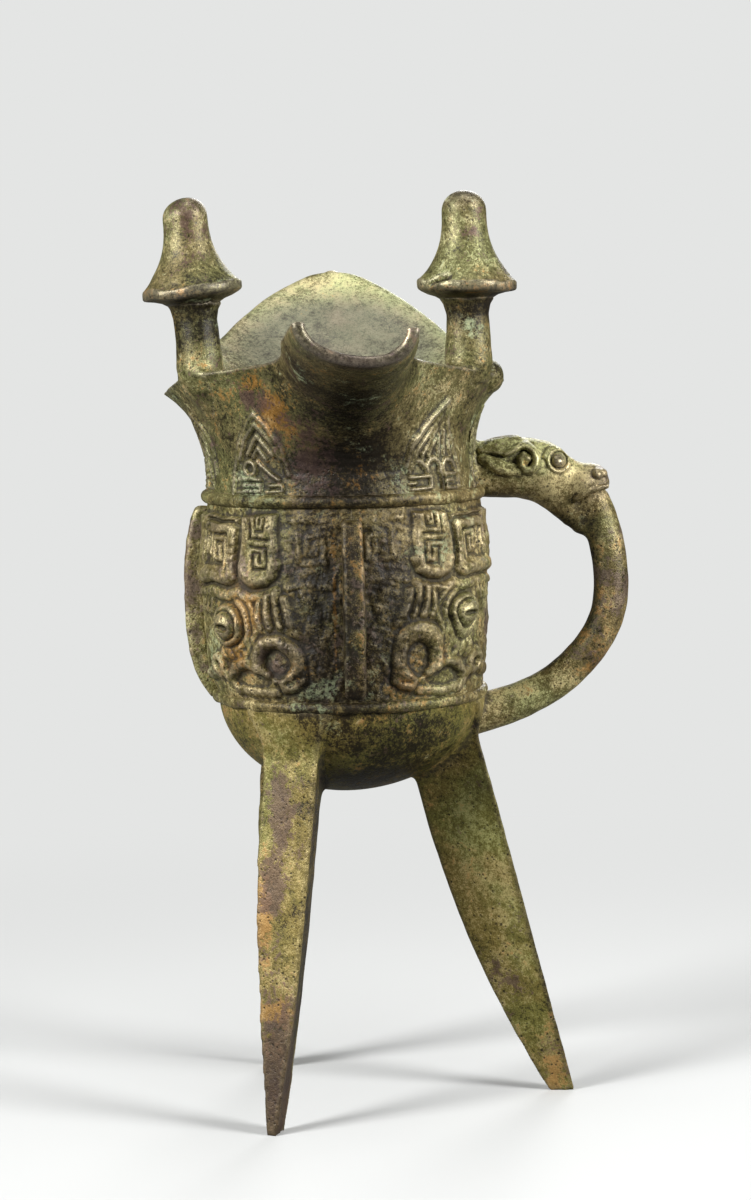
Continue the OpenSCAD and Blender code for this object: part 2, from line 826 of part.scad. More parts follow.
// A raised field on the wall between two angles and two heights
module field(a0, a1, z0, z1) {
    steps = 4;
    around(a0) rotate_extrude(angle = a1 - a0) difference() {
        polygon(concat(
            [[cup_r - cup_wall, z0]],
            [for (i = [0 : steps]) let (z = lerp(z0, z1, i / steps)) [wall_r(z) + horn_relief, z]],
            [[cup_r - cup_wall, z1]]
        ));
        polygon(concat(cup_outline(0), [[0, joint_z]]));
    }
}

// The space between the two arms of a bent horn
module horn_gap(a0, a1, z0, z1) {
    around(a0) rotate_extrude(angle = a1 - a0) translate([cup_r - cup_wall, z0])
        square([cup_wall + cup_swell + 2 * horn_relief, z1 - z0]);
}

// A horn bent like a U that is open at the top or at the bottom
module bent_horn(a0, a1, open_top) {
    gap_z0 = open_top ? horn_z0 + horn_band : horn_z0 - sink;
    gap_z1 = open_top ? horn_z1 + sink : horn_z1 - horn_band;
    difference() {
        field(a0, a1, horn_z0, horn_z1);
        horn_gap(a0 + band_a, a1 - band_a, gap_z0, gap_z1);
    }
}

module both_halves(angle) {
    around(angle) {
        children();
        mirror([0, 1, 0]) children();
    }
}

module mask_horns(angle) {
    color(olive) both_halves(angle) {
        bent_horn(hook_a0, hook_a1, false);
        bent_horn(plume_a0, plume_a1, true);
    }
}

module mask_eyes(angle) {
    color(umber) difference() {
        both_halves(angle) around(eye_a)
            translate([wall_r(eye_z) - mask_eye_r / 3, 0, eye_z]) sphere(r = mask_eye_r);
        body_blank();
    }
}

module mask_jaws(angle) {
    color(olive) difference() {
        both_halves(angle) around(jaw_a)
            translate([wall_r(jaw_z) + 0.2, 0, jaw_z]) rotate([0, 90, 0])
                rotate_extrude() translate([jaw_r, 0]) circle(r = jaw_band_r);
        body_blank();
    }
}

module left_mask_horns() {
    mask_horns(180);
}

module left_mask_eyes() {
    mask_eyes(180);
}

module left_mask_jaws() {
    mask_jaws(180);
}

module handle_mask_horns() {
    mask_horns(0);
}

module handle_mask_eyes() {
    mask_eyes(0);
}

module handle_mask_jaws() {
    mask_jaws(0);
}

// The middle of the outer box, from the handle's far side to the brim of the left cap and from
// the spout's lip to the tail's point
left_brim_x = post_x + mouth_lean + cap_brim_r * cos(left_post_lean)
    + (post_h + cap_brim_z + cap_brim_t / 2) * sin(left_post_lean);
middle_x = (arc_x + handle_arc_r + bar_r - left_brim_x) / 2;
middle_y = (tail_reach - spout_reach) / 2;

module placed() {
    translate([-middle_x, -middle_y, 0]) children();
}

placed() cup();
placed() upper_border();
placed() lower_border();
placed() spout();
placed() tail();
placed() left_mouth_wall();
placed() right_mouth_wall();
placed() front_flange();
placed() back_flange();
placed() left_flange();
placed() handle_leg();
placed() front_left_leg();
placed() back_left_leg();
placed() left_post();
placed() right_post();
placed() left_post_cap();
placed() right_post_cap();
placed() handle_bar();
placed() animal_head();
placed() head_ears();
placed() head_eyes();
placed() left_mask_horns();
placed() left_mask_eyes();
placed() left_mask_jaws();
placed() handle_mask_horns();
placed() handle_mask_eyes();
placed() handle_mask_jaws();
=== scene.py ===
# %% [markdown]
# # A bronze jue
# A jue is a small vessel for warmed wine: a round-bottomed cup on three blade legs, with an open
# spout in front, a pointed tail behind, two capped posts on the rim and a handle that an animal
# head bites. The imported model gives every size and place. This script dresses it: it keeps the
# frame, makes the cast surface with its masks, and lays an old patina over it.
#
# Places are given in millimetres round the cup's axis, because the whole vessel is built round
# that axis. One function turns them into the frame's metres.

# %% Load the frame
import bpy
import math
import numpy as np
from mathutils import Matrix, Vector
from mathutils.bvhtree import BVHTree


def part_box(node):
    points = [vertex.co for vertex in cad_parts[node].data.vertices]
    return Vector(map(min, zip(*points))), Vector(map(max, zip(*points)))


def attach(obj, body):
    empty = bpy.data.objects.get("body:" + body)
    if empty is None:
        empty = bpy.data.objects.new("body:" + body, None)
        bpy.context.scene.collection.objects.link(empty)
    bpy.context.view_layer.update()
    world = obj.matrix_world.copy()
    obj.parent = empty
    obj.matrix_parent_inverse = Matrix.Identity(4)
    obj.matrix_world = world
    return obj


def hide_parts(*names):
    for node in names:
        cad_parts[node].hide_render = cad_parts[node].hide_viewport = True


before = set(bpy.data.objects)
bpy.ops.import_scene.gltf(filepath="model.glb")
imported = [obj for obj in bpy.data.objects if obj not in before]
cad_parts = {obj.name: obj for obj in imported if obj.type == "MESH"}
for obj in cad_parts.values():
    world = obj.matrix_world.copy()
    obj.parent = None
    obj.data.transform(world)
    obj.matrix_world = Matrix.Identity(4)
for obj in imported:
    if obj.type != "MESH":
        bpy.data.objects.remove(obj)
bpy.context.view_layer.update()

MM = 0.001
border_low, border_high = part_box("upper_border")
axis_x = (border_low.x + border_high.x) / 2
axis_y = (border_low.y + border_high.y) / 2
upper_z = (border_low.z + border_high.z) / 2 / MM
lower_low, lower_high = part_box("lower_border")
lower_z = (lower_low.z + lower_high.z) / 2 / MM
joint_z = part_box("tail")[0].z / MM
print("borders at", round(lower_z, 1), round(upper_z, 1), "and the mouth's joint at", round(joint_z, 1))

# %% Places round the cup's axis
def at(x, y, z):
    """A place in millimetres round the cup's axis, as a place in the frame."""
    return Vector((axis_x + x * MM, axis_y + y * MM, z * MM))


def in_frame(points):
    """The same for a whole array of points."""
    return np.asarray(points, float) * MM + np.array([axis_x, axis_y, 0.0])


def lerp(a, b, t):
    return a + (b - a) * t


# %% [markdown]
# ## How pieces are made and handed over
# Turned pieces, such as the caps and the bowl, are drawn as half an outline and spun round, as a
# potter's wheel would. The carved and cast surfaces can't be had from operators, because their
# relief follows a drawing, so they are computed as grids or fields of points. Every piece ends
# the same way: doubles merged, faces outwards, smooth shading, its place in its mesh, its finish
# and its body given, and the CAD nodes it replaces hidden.

# %% Helpers for making pieces
def select_only(piece):
    bpy.ops.object.select_all(action="DESELECT")
    piece.select_set(True)
    bpy.context.view_layer.objects.active = piece


def clean(piece, merge=0.002):
    """Merges doubles and turns all faces outwards."""
    select_only(piece)
    bpy.ops.object.mode_set(mode="EDIT")
    bpy.ops.mesh.select_all(action="SELECT")
    bpy.ops.mesh.remove_doubles(threshold=merge * MM)
    bpy.ops.mesh.delete_loose()
    bpy.ops.mesh.select_all(action="SELECT")
    bpy.ops.mesh.normals_make_consistent(inside=False)
    bpy.ops.object.mode_set(mode="OBJECT")


def from_faces(name, points, faces):
    """A mesh piece from millimetre points round the cup's axis."""
    mesh = bpy.data.meshes.new(name)
    mesh.from_pydata(in_frame(points).tolist(), [], faces if isinstance(faces, list) else faces.tolist())
    mesh.update()
    piece = bpy.data.objects.new(name, mesh)
    bpy.context.scene.collection.objects.link(piece)
    return piece


def quads_of(index):
    """The faces between the rows and columns of a grid of point numbers."""
    return np.stack([index[:-1, :-1], index[1:, :-1], index[1:, 1:], index[:-1, 1:]], -1).reshape(-1, 4)


def turned(name, outline, steps, x=0.0, y=0.0):
    """A closed outline of radius and height, spun round an upright line."""
    bpy.ops.object.select_all(action="DESELECT")
    bpy.ops.mesh.primitive_circle_add(vertices=len(outline), fill_type="NOTHING", location=(0, 0, 0))
    piece = bpy.context.object
    piece.name = piece.data.name = name
    for vertex, (r, z) in zip(piece.data.vertices, outline):
        vertex.co = at(x + r, y, z)
    bpy.ops.object.mode_set(mode="EDIT")
    bpy.ops.mesh.select_all(action="SELECT")
    bpy.ops.mesh.spin(steps=steps, angle=2 * math.pi, center=at(x, y, 0), axis=(0, 0, 1))
    bpy.ops.object.mode_set(mode="OBJECT")
    clean(piece)
    return piece


def co_of(piece):
    co = np.empty(len(piece.data.vertices) * 3)
    piece.data.vertices.foreach_get("co", co)
    return (co.reshape(-1, 3) - np.array([axis_x, axis_y, 0.0])) / MM


def set_co(piece, points):
    piece.data.vertices.foreach_set("co", in_frame(points).ravel())
    piece.data.update()


def normals_of(piece):
    n = np.empty(len(piece.data.vertices) * 3, np.float32)
    piece.data.vertex_normals.foreach_get("vector", n)
    return n.reshape(-1, 3).astype(float)


# %% Hand-made unevenness
def ripple(x, y, z, size, seed):
    """A smooth uneven field of about -1 to 1 whose bumps are about size millimetres across."""
    rng = np.random.default_rng(seed)
    total = np.zeros(np.broadcast(x, y, z).shape)
    for _ in range(9):
        way = rng.normal(size=3)
        way *= 2 * math.pi / size / np.linalg.norm(way) * rng.uniform(0.5, 1.2)
        total = total + np.sin(way[0] * x + way[1] * y + way[2] * z + rng.uniform(0, 2 * math.pi))
    return total / 4


def unevened(piece, size, depth, seed, keep=None):
    """Pushes a piece's surface in and out a little, as a cast surface is never true."""
    p = co_of(piece)
    push = ripple(p[:, 0], p[:, 1], p[:, 2], size, seed) * depth
    if keep is not None:
        push = push * keep(p)
    set_co(piece, p + normals_of(piece) * push[:, None])


# %% Wear and hollows, kept as an attribute
# Millimetres above or below its surroundings at which a point counts as fully worn or hollow
FULL_WEAR = 0.35


def mark_wear(piece, reach):
    """Stores how far each point stands out of, or lies below, the surface within reach of it.

    The patina reads it: ridges are rubbed bright and hollows keep dark dirt.
    """
    mesh = piece.data
    edges = np.empty(len(mesh.edges) * 2, np.int32)
    mesh.edges.foreach_get("vertices", edges)
    a, b = edges[0::2], edges[1::2]
    p = co_of(piece)
    count = len(p)
    length = np.median(np.linalg.norm(p[a] - p[b], axis=1))
    rounds = int(np.clip((reach / length) ** 2, 6, 90))
    degree = np.maximum(np.bincount(a, minlength=count) + np.bincount(b, minlength=count), 1)[:, None]
    q = p.copy()
    for _ in range(rounds):
        total = np.stack([
            np.bincount(a, q[b, k], count) + np.bincount(b, q[a, k], count) for k in range(3)
        ], 1)
        q = 0.5 * q + 0.5 * total / degree
    wear = ((p - q) * normals_of(piece)).sum(1)
    wear = wear - np.median(wear)
    field = mesh.attributes.new("wear", "FLOAT", "POINT")
    field.data.foreach_set("value", np.clip(wear / FULL_WEAR, -1, 1).astype(np.float32))


# %% [markdown]
# ## Stains, painted shade and painted light
# The real vessel has its large stains in fixed places: ochre and purple beside the flange, grey and
# pale on the tail. The dark places, under the spout, the caps and the head and round the bottom, are
# partly dark patina and partly painted shade; some pale places are painted light where a lamp's
# shadow falls, as on the tops of the legs. Noise can't put them there, and an image would have to
# be painted, so each is a soft ball, round or flat, with a place, a reach and a strength. Each kind
# is stored on the mesh, and the patina's noise frays its edge.

# %% The list of stains
# Places of each stain in millimetres: x, y, z, then its reach in x, y and z, then its strength
STAINS = {
    # Partly dark patina, partly painted shade: under the spout, the caps and the animal's head, and round
    # the legs' tops and the bottom
    "dark_stain_and_painted_shade": [
        (-7, -32, 120, 9, 9, 26, 1.05), (8, -32, 120, 9, 9, 26, 0.95), (0, -33, 151, 16, 9, 11, 1.3),
        (0, -45, 165, 15, 20, 12, 0.95), (-9, -60, 172, 6, 14, 8, 0.6), (-32.5, -14, 184, 8, 8, 5.2, 1.0),
        (29, -14, 186.2, 8, 8, 3.0, 1.35), (-32.5, -14, 189.6, 13, 13, 1.6, 0.6),
        (29, -14, 189.6, 13, 13, 1.6, 0.8), (0, -36, 99, 4, 5, 4, 1.0), (0, -36, 120, 2.8, 6, 26, 1.0),
        (8, -20, 75, 17, 13, 10, 1.0), (-4.5, -34, 118, 1.1, 3, 22, 1.1), (4.0, -34, 118, 0.8, 3, 20, 0.8),
        (-19, -34, 8, 6, 6, 20, 0.75), (8, -24, 89, 15, 10, 5, 0.85), (34, 0, 142, 8, 8, 2.5, 0.7),
        (53, 0, 135, 4, 5, 5, 0.6), (0, 22, 78, 22, 16, 11, 0.7), (-24, 38, 177, 15, 22, 10, 0.35),
        (58, 0, 118, 2.4, 6, 20, 0.8), (62, 0, 126, 6, 6, 12, 0.35), (-27, -14, 161, 4, 6, 14, 0.35),
        (30, -16, 160, 6, 7, 10, 0.3),
    ],
    "ochre_stain": [
        (-25.3, -21.2, 108, 5, 5, 5, 1.0), (-21.6, -24.9, 117, 5, 5, 5, 0.7),
        (-11.8, -30.8, 104, 4, 4, 4, 0.7), (-3.3, -34, 115, 0.45, 4, 22, 0.8),
        (2.8, -34, 118, 0.45, 4, 20, 0.6), (20.8, -25.6, 108, 4, 4, 4, 0.4),
        (11.8, -30.8, 101, 6, 6, 5, 0.4), (-15.2, -29.3, 164, 4, 5, 4, 0.9), (-20, -27, 171, 4, 4, 4, 0.6),
        (-26.5, -21.5, 166, 5, 5, 5, 0.2), (-21.5, -27.5, 48, 3.2, 4, 7, 1.1),
        (-20, -33, 28, 4, 4, 2.5, 0.8), (56, 0, 104, 6, 5, 6, 0.6), (42, -7, 150, 1.6, 3, 1.6, 0.9),
        (-32.5, -14, 191, 13, 13, 1.3, 0.4), (29, -14, 191, 13, 13, 1.3, 0.4), (28, 14, 112, 9, 9, 12, 0.5),
        (-24, 20, 130, 9, 9, 9, 0.4),
    ],
    "purple_stain": [
        (-23.2, -23.5, 128, 4, 4, 4, 0.7), (-17.5, -28, 107, 3.4, 4, 3.4, 0.8),
        (-27.8, -17.8, 126, 3, 3, 3, 0.6), (32.5, -5.7, 112, 5, 5, 5, 0.4),
        (-21.5, -26.5, 167, 2.6, 3, 2.6, 0.8), (-18.8, -27.8, 166, 2.2, 3, 2.2, 0.8),
        (-7, -31, 150, 5, 6, 5, 0.5), (37, 8, 169, 4, 5, 4, 0.5), (-38, 0, 128, 5, 5, 14, 0.9),
        (-16.6, -28, 76, 3.2, 5, 9, 1.2), (-18.5, -29, 58, 3.2, 5, 8, 1.1), (-19, -34, 10, 6, 6, 19, 1.3),
        (29.5, -20, 203, 1.8, 3, 1.8, 0.6), (32, -19, 208, 1.4, 3, 1.4, 0.6), (62.3, 0, 121, 5, 5, 6, 0.6),
        (62, -2, 147, 2.2, 3, 2.2, 0.8), (40, -9, 57, 1.6, 3, 1.6, 0.8), (-20, 32, 40, 5, 6, 22, 0.6),
        (-33, -14, 205, 3, 6, 5, 0.4),
    ],
    "crust_stain": [
        (-38.5, 0, 106, 4, 4, 10, 0.8), (-8, -32, 101, 4, 5, 2.5, 0.4), (-31, -9, 107, 5, 6, 6, 0.6),
        (26.7, -19.4, 133, 9, 9, 9, 0.35), (19.4, -26.7, 133, 6, 6, 6, 0.35),
        (-22.5, -22.5, 149, 6, 6, 5, 0.45), (20.5, -24.4, 153, 10, 8, 9, 0.5), (0, 40, 108, 9, 9, 12, 0.6),
        (24, 24, 140, 9, 9, 9, 0.5), (29, -18, 182, 3, 3, 2.5, 0.7),
    ],
    # Partly pale patina, as on the tail, and partly painted light on parts in a lamp's shadow, such as the
    # tops of the legs
    "pale_stain_and_painted_light": [
        (0, 46, 184, 42, 34, 28, 1.6), (24, -29, 150, 13, 12, 18, 0.85), (24, -22, 122, 10, 12, 24, 0.35),
        (-25, -20, 130, 9, 9, 10, 0.15), (-17, -29, 60, 7, 9, 45, 0.45), (-17, -27, 87, 9, 8, 12, 0.75),
        (36, -5, 66, 10, 8, 24, 0.88), (44, -3, 38, 9, 8, 18, 0.4), (-32, -14, 200, 14, 14, 14, 0.15),
        (29, -14, 200, 14, 14, 14, 0.35), (46, -6, 149, 16, 8, 9, 0.85), (43, 0, 95, 14, 6, 5, 0.65),
        (-38, 0, 128, 4, 6, 16, 0.7),
    ],
    "rubbed_stain": [
        (1.5, -79.5, 170, 20, 2.6, 16, 1.0), (-32, -16, 213, 4, 5, 2.5, 0.8),
        (29, -16, 213, 4, 5, 2.5, 0.8), (50, -7, 150.5, 1.6, 3, 1.6, 0.8), (59.5, -4, 146, 3, 4, 3, 0.6),
    ],
}
# How fast a stain fades towards its reach, and the level of noise at which its edge lies
STAIN_FALL, STAIN_EDGE = 0.7, 0.665


def mark_stains(piece):
    """Stores each kind of stain, with its painted shade or light, as an attribute, strongest in the middle
    of its places.
    """
    p = co_of(piece)
    for kind, places in STAINS.items():
        total = np.zeros(len(p))
        for x, y, z, rx, ry, rz, strength in places:
            far = ((p[:, 0] - x) / rx) ** 2 + ((p[:, 1] - y) / ry) ** 2 + ((p[:, 2] - z) / rz) ** 2
            total = np.maximum(total, strength * np.exp(-far * STAIN_FALL))
        field = piece.data.attributes.new(kind, "FLOAT", "POINT")
        field.data.foreach_set("value", total.astype(np.float32))


# %% Hand a piece over
def pressed_in(piece):
    """The real bowl is a little flat on its left side, low down, with all that sits on it."""
    p = co_of(piece)
    aside = np.clip((-p[:, 0] - 8) / 24, 0, 1)
    level = np.interp(p[:, 2], [62, 80, 97, 103], [0, 1, 1, 0])
    p[:, 0] += 1.5 * aside * aside * (3 - 2 * aside) * level
    set_co(piece, p)


def hand_over(piece, nodes, material, reach):
    """Smooths and marks a finished piece, gives it its finish and body, and hides the CAD nodes it replaces.
    """
    select_only(piece)
    bpy.ops.object.transform_apply(location=True, rotation=True, scale=True)
    pressed_in(piece)
    bpy.ops.object.shade_smooth_by_angle(angle=math.radians(60))
    mark_wear(piece, reach)
    mark_stains(piece)
    piece.data.materials.clear()
    piece.data.materials.append(material)
    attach(piece, "root")
    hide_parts(*nodes)
    print(piece.name, len(piece.data.polygons), "faces")


# %% [markdown]
# ## The patina
# Bronze that has lain in the ground carries a skin of corrosion: olive green and khaki over most
# of it, ochre and purple-brown where the skin is thin, chalky pale green in sheltered corners, and
# black specks and pits all over. Where hands rubbed it, the metal shows through as a grey-brown
# sheen. One shader node group makes that skin from noise at several sizes and the stored wear.
# Each finish places the group with its own colours, so the leg, the cup and the mouth differ as
# they do on the real vessel, yet stay one metal. Where the real vessel is stained can't come from
# noise, so those places are listed above, and the group only frays their edges. At the listed dark
# and pale places it also darkens and lightens the colour as painted shade and painted light.

# %% Node helpers
def rgb(r, g, b):
    """A colour as it shows on a screen, 0 to 255, as the linear colour a shader wants."""
    def linear(c):
        c = c / 255
        return c / 12.92 if c <= 0.04045 else ((c + 0.055) / 1.055) ** 2.4
    return (linear(r), linear(g), linear(b), 1.0)


class Nodes:
    """Short calls that add nodes to a tree and link them."""

    def __init__(self, tree):
        self.tree = tree

    def add(self, kind, **values):
        node = self.tree.nodes.new(kind)
        for key, value in values.items():
            setattr(node, key, value)
        return node

    def link(self, source, target):
        self.tree.links.new(source, target)

    def put(self, socket, value):
        if isinstance(value, bpy.types.NodeSocket):
            self.link(value, socket)
        else:
            socket.default_value = value

    def noise(self, place, scale, detail, rough, distortion=0.0):
        node = self.add("ShaderNodeTexNoise")
        self.link(place, node.inputs["Vector"])
        node.inputs["Scale"].default_value = scale
        node.inputs["Detail"].default_value = detail
        node.inputs["Roughness"].default_value = rough
        node.inputs["Distortion"].default_value = distortion
        return node.outputs["Fac"]

    def cells(self, place, scale):
        node = self.add("ShaderNodeTexVoronoi")
        self.link(place, node.inputs["Vector"])
        node.inputs["Scale"].default_value = scale
        return node.outputs["Distance"]

    def math(self, operation, *values, clamp=False):
        node = self.add("ShaderNodeMath", operation=operation, use_clamp=clamp)
        for socket, value in zip(node.inputs, values):
            self.put(socket, value)
        return node.outputs[0]

    def ramp(self, value, low, high, out_low=0.0, out_high=1.0):
        node = self.add("ShaderNodeMapRange", interpolation_type="SMOOTHSTEP")
        self.put(node.inputs["Value"], value)
        self.put(node.inputs["From Min"], low)
        self.put(node.inputs["From Max"], high)
        self.put(node.inputs["To Min"], out_low)
        self.put(node.inputs["To Max"], out_high)
        return node.outputs["Result"]

    def mix(self, factor, a, b, blend="MIX"):
        node = self.add("ShaderNodeMix", data_type="RGBA", blend_type=blend)
        self.put(node.inputs[0], factor)
        self.put(node.inputs[6], a)
        self.put(node.inputs[7], b)
        return node.outputs[2]


# %% The patina group
def patina_group():
    tree = bpy.data.node_groups.new("old_bronze_patina", "ShaderNodeTree")
    n = Nodes(tree)
    for name in ("Pale", "Skin", "Deep", "Ochre", "Purple", "Crust", "Metal"):
        tree.interface.new_socket(name, in_out="INPUT", socket_type="NodeSocketColor")
    amounts = [("Tone", 0.5), ("Ochre amount", 0.35), ("Purple amount", 0.3), ("Crust amount", 0.2),
        ("Speck amount", 0.8), ("Rub amount", 0.5)]
    for name, value in amounts:
        tree.interface.new_socket(name, in_out="INPUT", socket_type="NodeSocketFloat").default_value = value
    tree.interface.new_socket("Colour", in_out="OUTPUT", socket_type="NodeSocketColor")
    for name in ("Roughness", "Metallic", "Height"):
        tree.interface.new_socket(name, in_out="OUTPUT", socket_type="NodeSocketFloat")
    given = n.add("NodeGroupInput").outputs
    out = n.add("NodeGroupOutput").inputs

    def stored(name):
        return n.add("ShaderNodeAttribute", attribute_type="GEOMETRY", attribute_name=name).outputs["Fac"]

    def summed(*terms):
        """Adds noise fields round their mean, each with its weight, to 0.5."""
        total = 0.5 - sum(weight * mean for _, weight, mean in terms)
        for field, weight, _ in terms:
            total = n.math("MULTIPLY_ADD", field, weight, total)
        return total

    place = n.add("ShaderNodeTexCoord").outputs["Object"]
    # The same place a little further on, so that two noises of one size don't match
    moved = n.add("ShaderNodeVectorMath", operation="ADD")
    n.link(place, moved.inputs[0])
    moved.inputs[1].default_value = (0.31, 0.17, 0.05)
    wear = stored("wear")

    broad = n.noise(place, 45, 5, 0.62, 0.4)
    other = n.noise(moved.outputs[0], 70, 6, 0.68, 0.5)
    blotches = n.noise(place, 230, 5, 0.68, 0.3)
    grain = n.noise(place, 1150, 3, 0.7)
    fine = n.noise(place, 3300, 2, 0.65)

    # The skin runs through three tones, from broad drifts down to grains the size of sand
    pale_and_lit_here, dark_and_shade_here = stored("pale_stain_and_painted_light"), stored("dark_stain_and_painted_shade")
    # The listed dark and pale places also move the tone: partly stains, partly painted shade and painted
    # light
    tone = summed((grain, 1.25, 0.5), (fine, 0.8, 0.5), (blotches, 1.2, 0.5), (other, 1.2, 0.5),
        (broad, 0.9, 0.5), (pale_and_lit_here, 0.3, 0.0), (dark_and_shade_here, -0.4, 0.0), (given["Tone"], 0.9, 0.5))
    colour = n.mix(n.ramp(tone, 0.02, 0.5), given["Deep"], given["Skin"])
    colour = n.mix(n.ramp(tone, 0.5, 0.98), colour, given["Pale"])
    # It leans to green in some places and to brown in others
    drift = n.noise(moved.outputs[0], 33, 4, 0.6, 0.6)
    lean = n.ramp(summed((drift, 1.0, 0.5), (blotches, 0.5, 0.5)), 0.38, 0.62)
    colour = n.mix(1.0, colour, n.mix(lean, (0.88, 1.0, 0.8, 1), (1.04, 0.97, 0.86, 1)), "MULTIPLY")
    # The tail's skin is so thin that grey metal shows
    colour = n.mix(n.ramp(pale_and_lit_here, 0.9, 1.3, 0.0, 0.8), colour, rgb(79, 76, 71))

    # Stains, each with ragged edges: ochre, purple-brown, and a chalky crust on top
    def stain(kind, noises, soft):
        level = summed(*noises, (stored(kind.lower() + "_stain"), 0.3, 0.0),
            (given[kind + " amount"], 0.3, 0.0), (pale_and_lit_here, -0.1, 0.0))
        return n.ramp(level, STAIN_EDGE, STAIN_EDGE + soft)

    ochre = stain("Ochre", [(broad, 0.6, 0.5), (blotches, 0.65, 0.5), (grain, 0.6, 0.5)], 0.12)
    colour = n.mix(n.math("MULTIPLY", ochre, 0.75), colour, given["Ochre"])
    purple = stain("Purple", [(other, 0.7, 0.5), (blotches, -0.6, 0.5), (grain, 0.6, 0.5)], 0.09)
    colour = n.mix(n.math("MULTIPLY", purple, 0.8), colour, given["Purple"])
    crust = stain("Crust",
        [(broad, -0.6, 0.5), (other, -0.4, 0.5), (blotches, 0.8, 0.5), (wear, -0.05, 0.0)], 0.12)
    crust = n.math("MULTIPLY", crust, n.ramp(grain, 0.38, 0.56))
    colour = n.mix(n.math("MULTIPLY", crust, 0.75), colour, given["Crust"])

    # Dirt in the hollows, and a rubbed sheen on the ridges
    hollow = n.ramp(summed((wear, 1.0, 0.0), (grain, 0.9, 0.5)), 0.44, -0.12)
    colour = n.mix(n.math("MULTIPLY", hollow, 0.8), colour, n.mix(0.6, given["Deep"], rgb(24, 20, 12)))
    ridge = n.ramp(summed((wear, 1.0, 0.0), (blotches, 1.2, 0.5), (grain, 0.7, 0.5)), 0.62, 1.15)
    polish = stored("rubbed_stain")
    bare = n.math("MULTIPLY", ridge, given["Rub amount"])
    rub = n.math("MAXIMUM", bare, polish)
    colour = n.mix(n.math("MULTIPLY", bare, 0.75), colour, given["Metal"])
    colour = n.mix(n.math("MULTIPLY", polish, 0.75), colour, rgb(90, 80, 78))

    # Black specks and larger pits, thick in some places and rare in others
    speck = n.math("MULTIPLY", n.ramp(n.cells(place, 800), 0.3, 0.12), n.ramp(blotches, 0.4, 0.58))
    pit = n.math("MULTIPLY", n.ramp(n.cells(moved.outputs[0], 330), 0.17, 0.08), n.ramp(other, 0.46, 0.6))
    spots = n.math("MULTIPLY", n.math("MAXIMUM", speck, pit), given["Speck amount"])
    # Polished places and the pale tail have few of them
    smooth = n.math("MAXIMUM", polish, n.ramp(pale_and_lit_here, 0.85, 1.3))
    spots = n.math("MULTIPLY", spots, n.math("MULTIPLY_ADD", smooth, -0.75, 1.0))
    colour = n.mix(n.math("MULTIPLY", spots, 0.85), colour, rgb(30, 24, 15))
    shade = n.ramp(summed((fine, 1.2, 0.5), (grain, 0.9, 0.5), (blotches, 0.9, 0.5)), 0.1, 0.9, 0.7, 1.28)
    # Painted light and shade: the colour is lightened at the listed pale places and darkened at the listed
    # dark places
    painted_light = n.math("MULTIPLY_ADD", pale_and_lit_here, 0.2, 1.0)
    shade = n.math("MULTIPLY", shade, n.math("MULTIPLY_ADD", dark_and_shade_here, -0.58, painted_light))
    tint = n.add("ShaderNodeCombineColor")
    for k in range(3):
        n.link(shade, tint.inputs[k])
    colour = n.mix(1.0, colour, tint.outputs[0], "MULTIPLY")

    dull = n.math("MAXIMUM", crust, hollow)
    rough = n.math("MULTIPLY_ADD", grain, 0.6, 0.17)
    rough = n.math("ADD", rough, n.math("MULTIPLY", dull, 0.25))
    rough = n.math("SUBTRACT", rough, n.math("MULTIPLY", rub, 0.14), clamp=True)
    metal = n.math("MULTIPLY_ADD", rub, 0.4, 0.3)
    metal = n.math("SUBTRACT", metal, n.math("MULTIPLY", dull, 0.3), clamp=True)
    height = summed((grain, 0.8, 0.5), (blotches, 0.5, 0.5), (fine, 0.35, 0.5), (spots, -0.5, 0.0),
        (crust, 0.2, 0.0))
    even = n.math("MAXIMUM", smooth, n.ramp(pale_and_lit_here, 0.0, 1.0))
    height = n.math("MULTIPLY", height, n.math("MULTIPLY_ADD", even, -0.7, 1.0))
    for value, name in ((colour, "Colour"), (rough, "Roughness"), (metal, "Metallic"), (height, "Height")):
        n.link(value, out[name])
    return tree


PATINA = patina_group()
print("patina group with", len(PATINA.nodes), "nodes")


# %% One finish for each kind of piece
def finish_of(name, depth, **values):
    """A material of the patina group and a Principled shader. depth is the bump in millimetres."""
    material = bpy.data.materials.new(name)
    material.use_nodes = True
    tree = material.node_tree
    tree.nodes.clear()
    n = Nodes(tree)
    group = n.add("ShaderNodeGroup", node_tree=PATINA)
    for key, value in values.items():
        group.inputs[key.replace("_", " ").capitalize()].default_value = value
    shader = n.add("ShaderNodeBsdfPrincipled")
    shader.inputs["Specular IOR Level"].default_value = 0.3
    bump = n.add("ShaderNodeBump")
    bump.inputs["Strength"].default_value = 0.85
    bump.inputs["Distance"].default_value = depth * MM
    n.link(group.outputs["Height"], bump.inputs["Height"])
    n.link(group.outputs["Colour"], shader.inputs["Base Color"])
    n.link(group.outputs["Roughness"], shader.inputs["Roughness"])
    n.link(group.outputs["Metallic"], shader.inputs["Metallic"])
    n.link(bump.outputs["Normal"], shader.inputs["Normal"])
    n.link(shader.outputs[0], n.add("ShaderNodeOutputMaterial").inputs["Surface"])
    return material


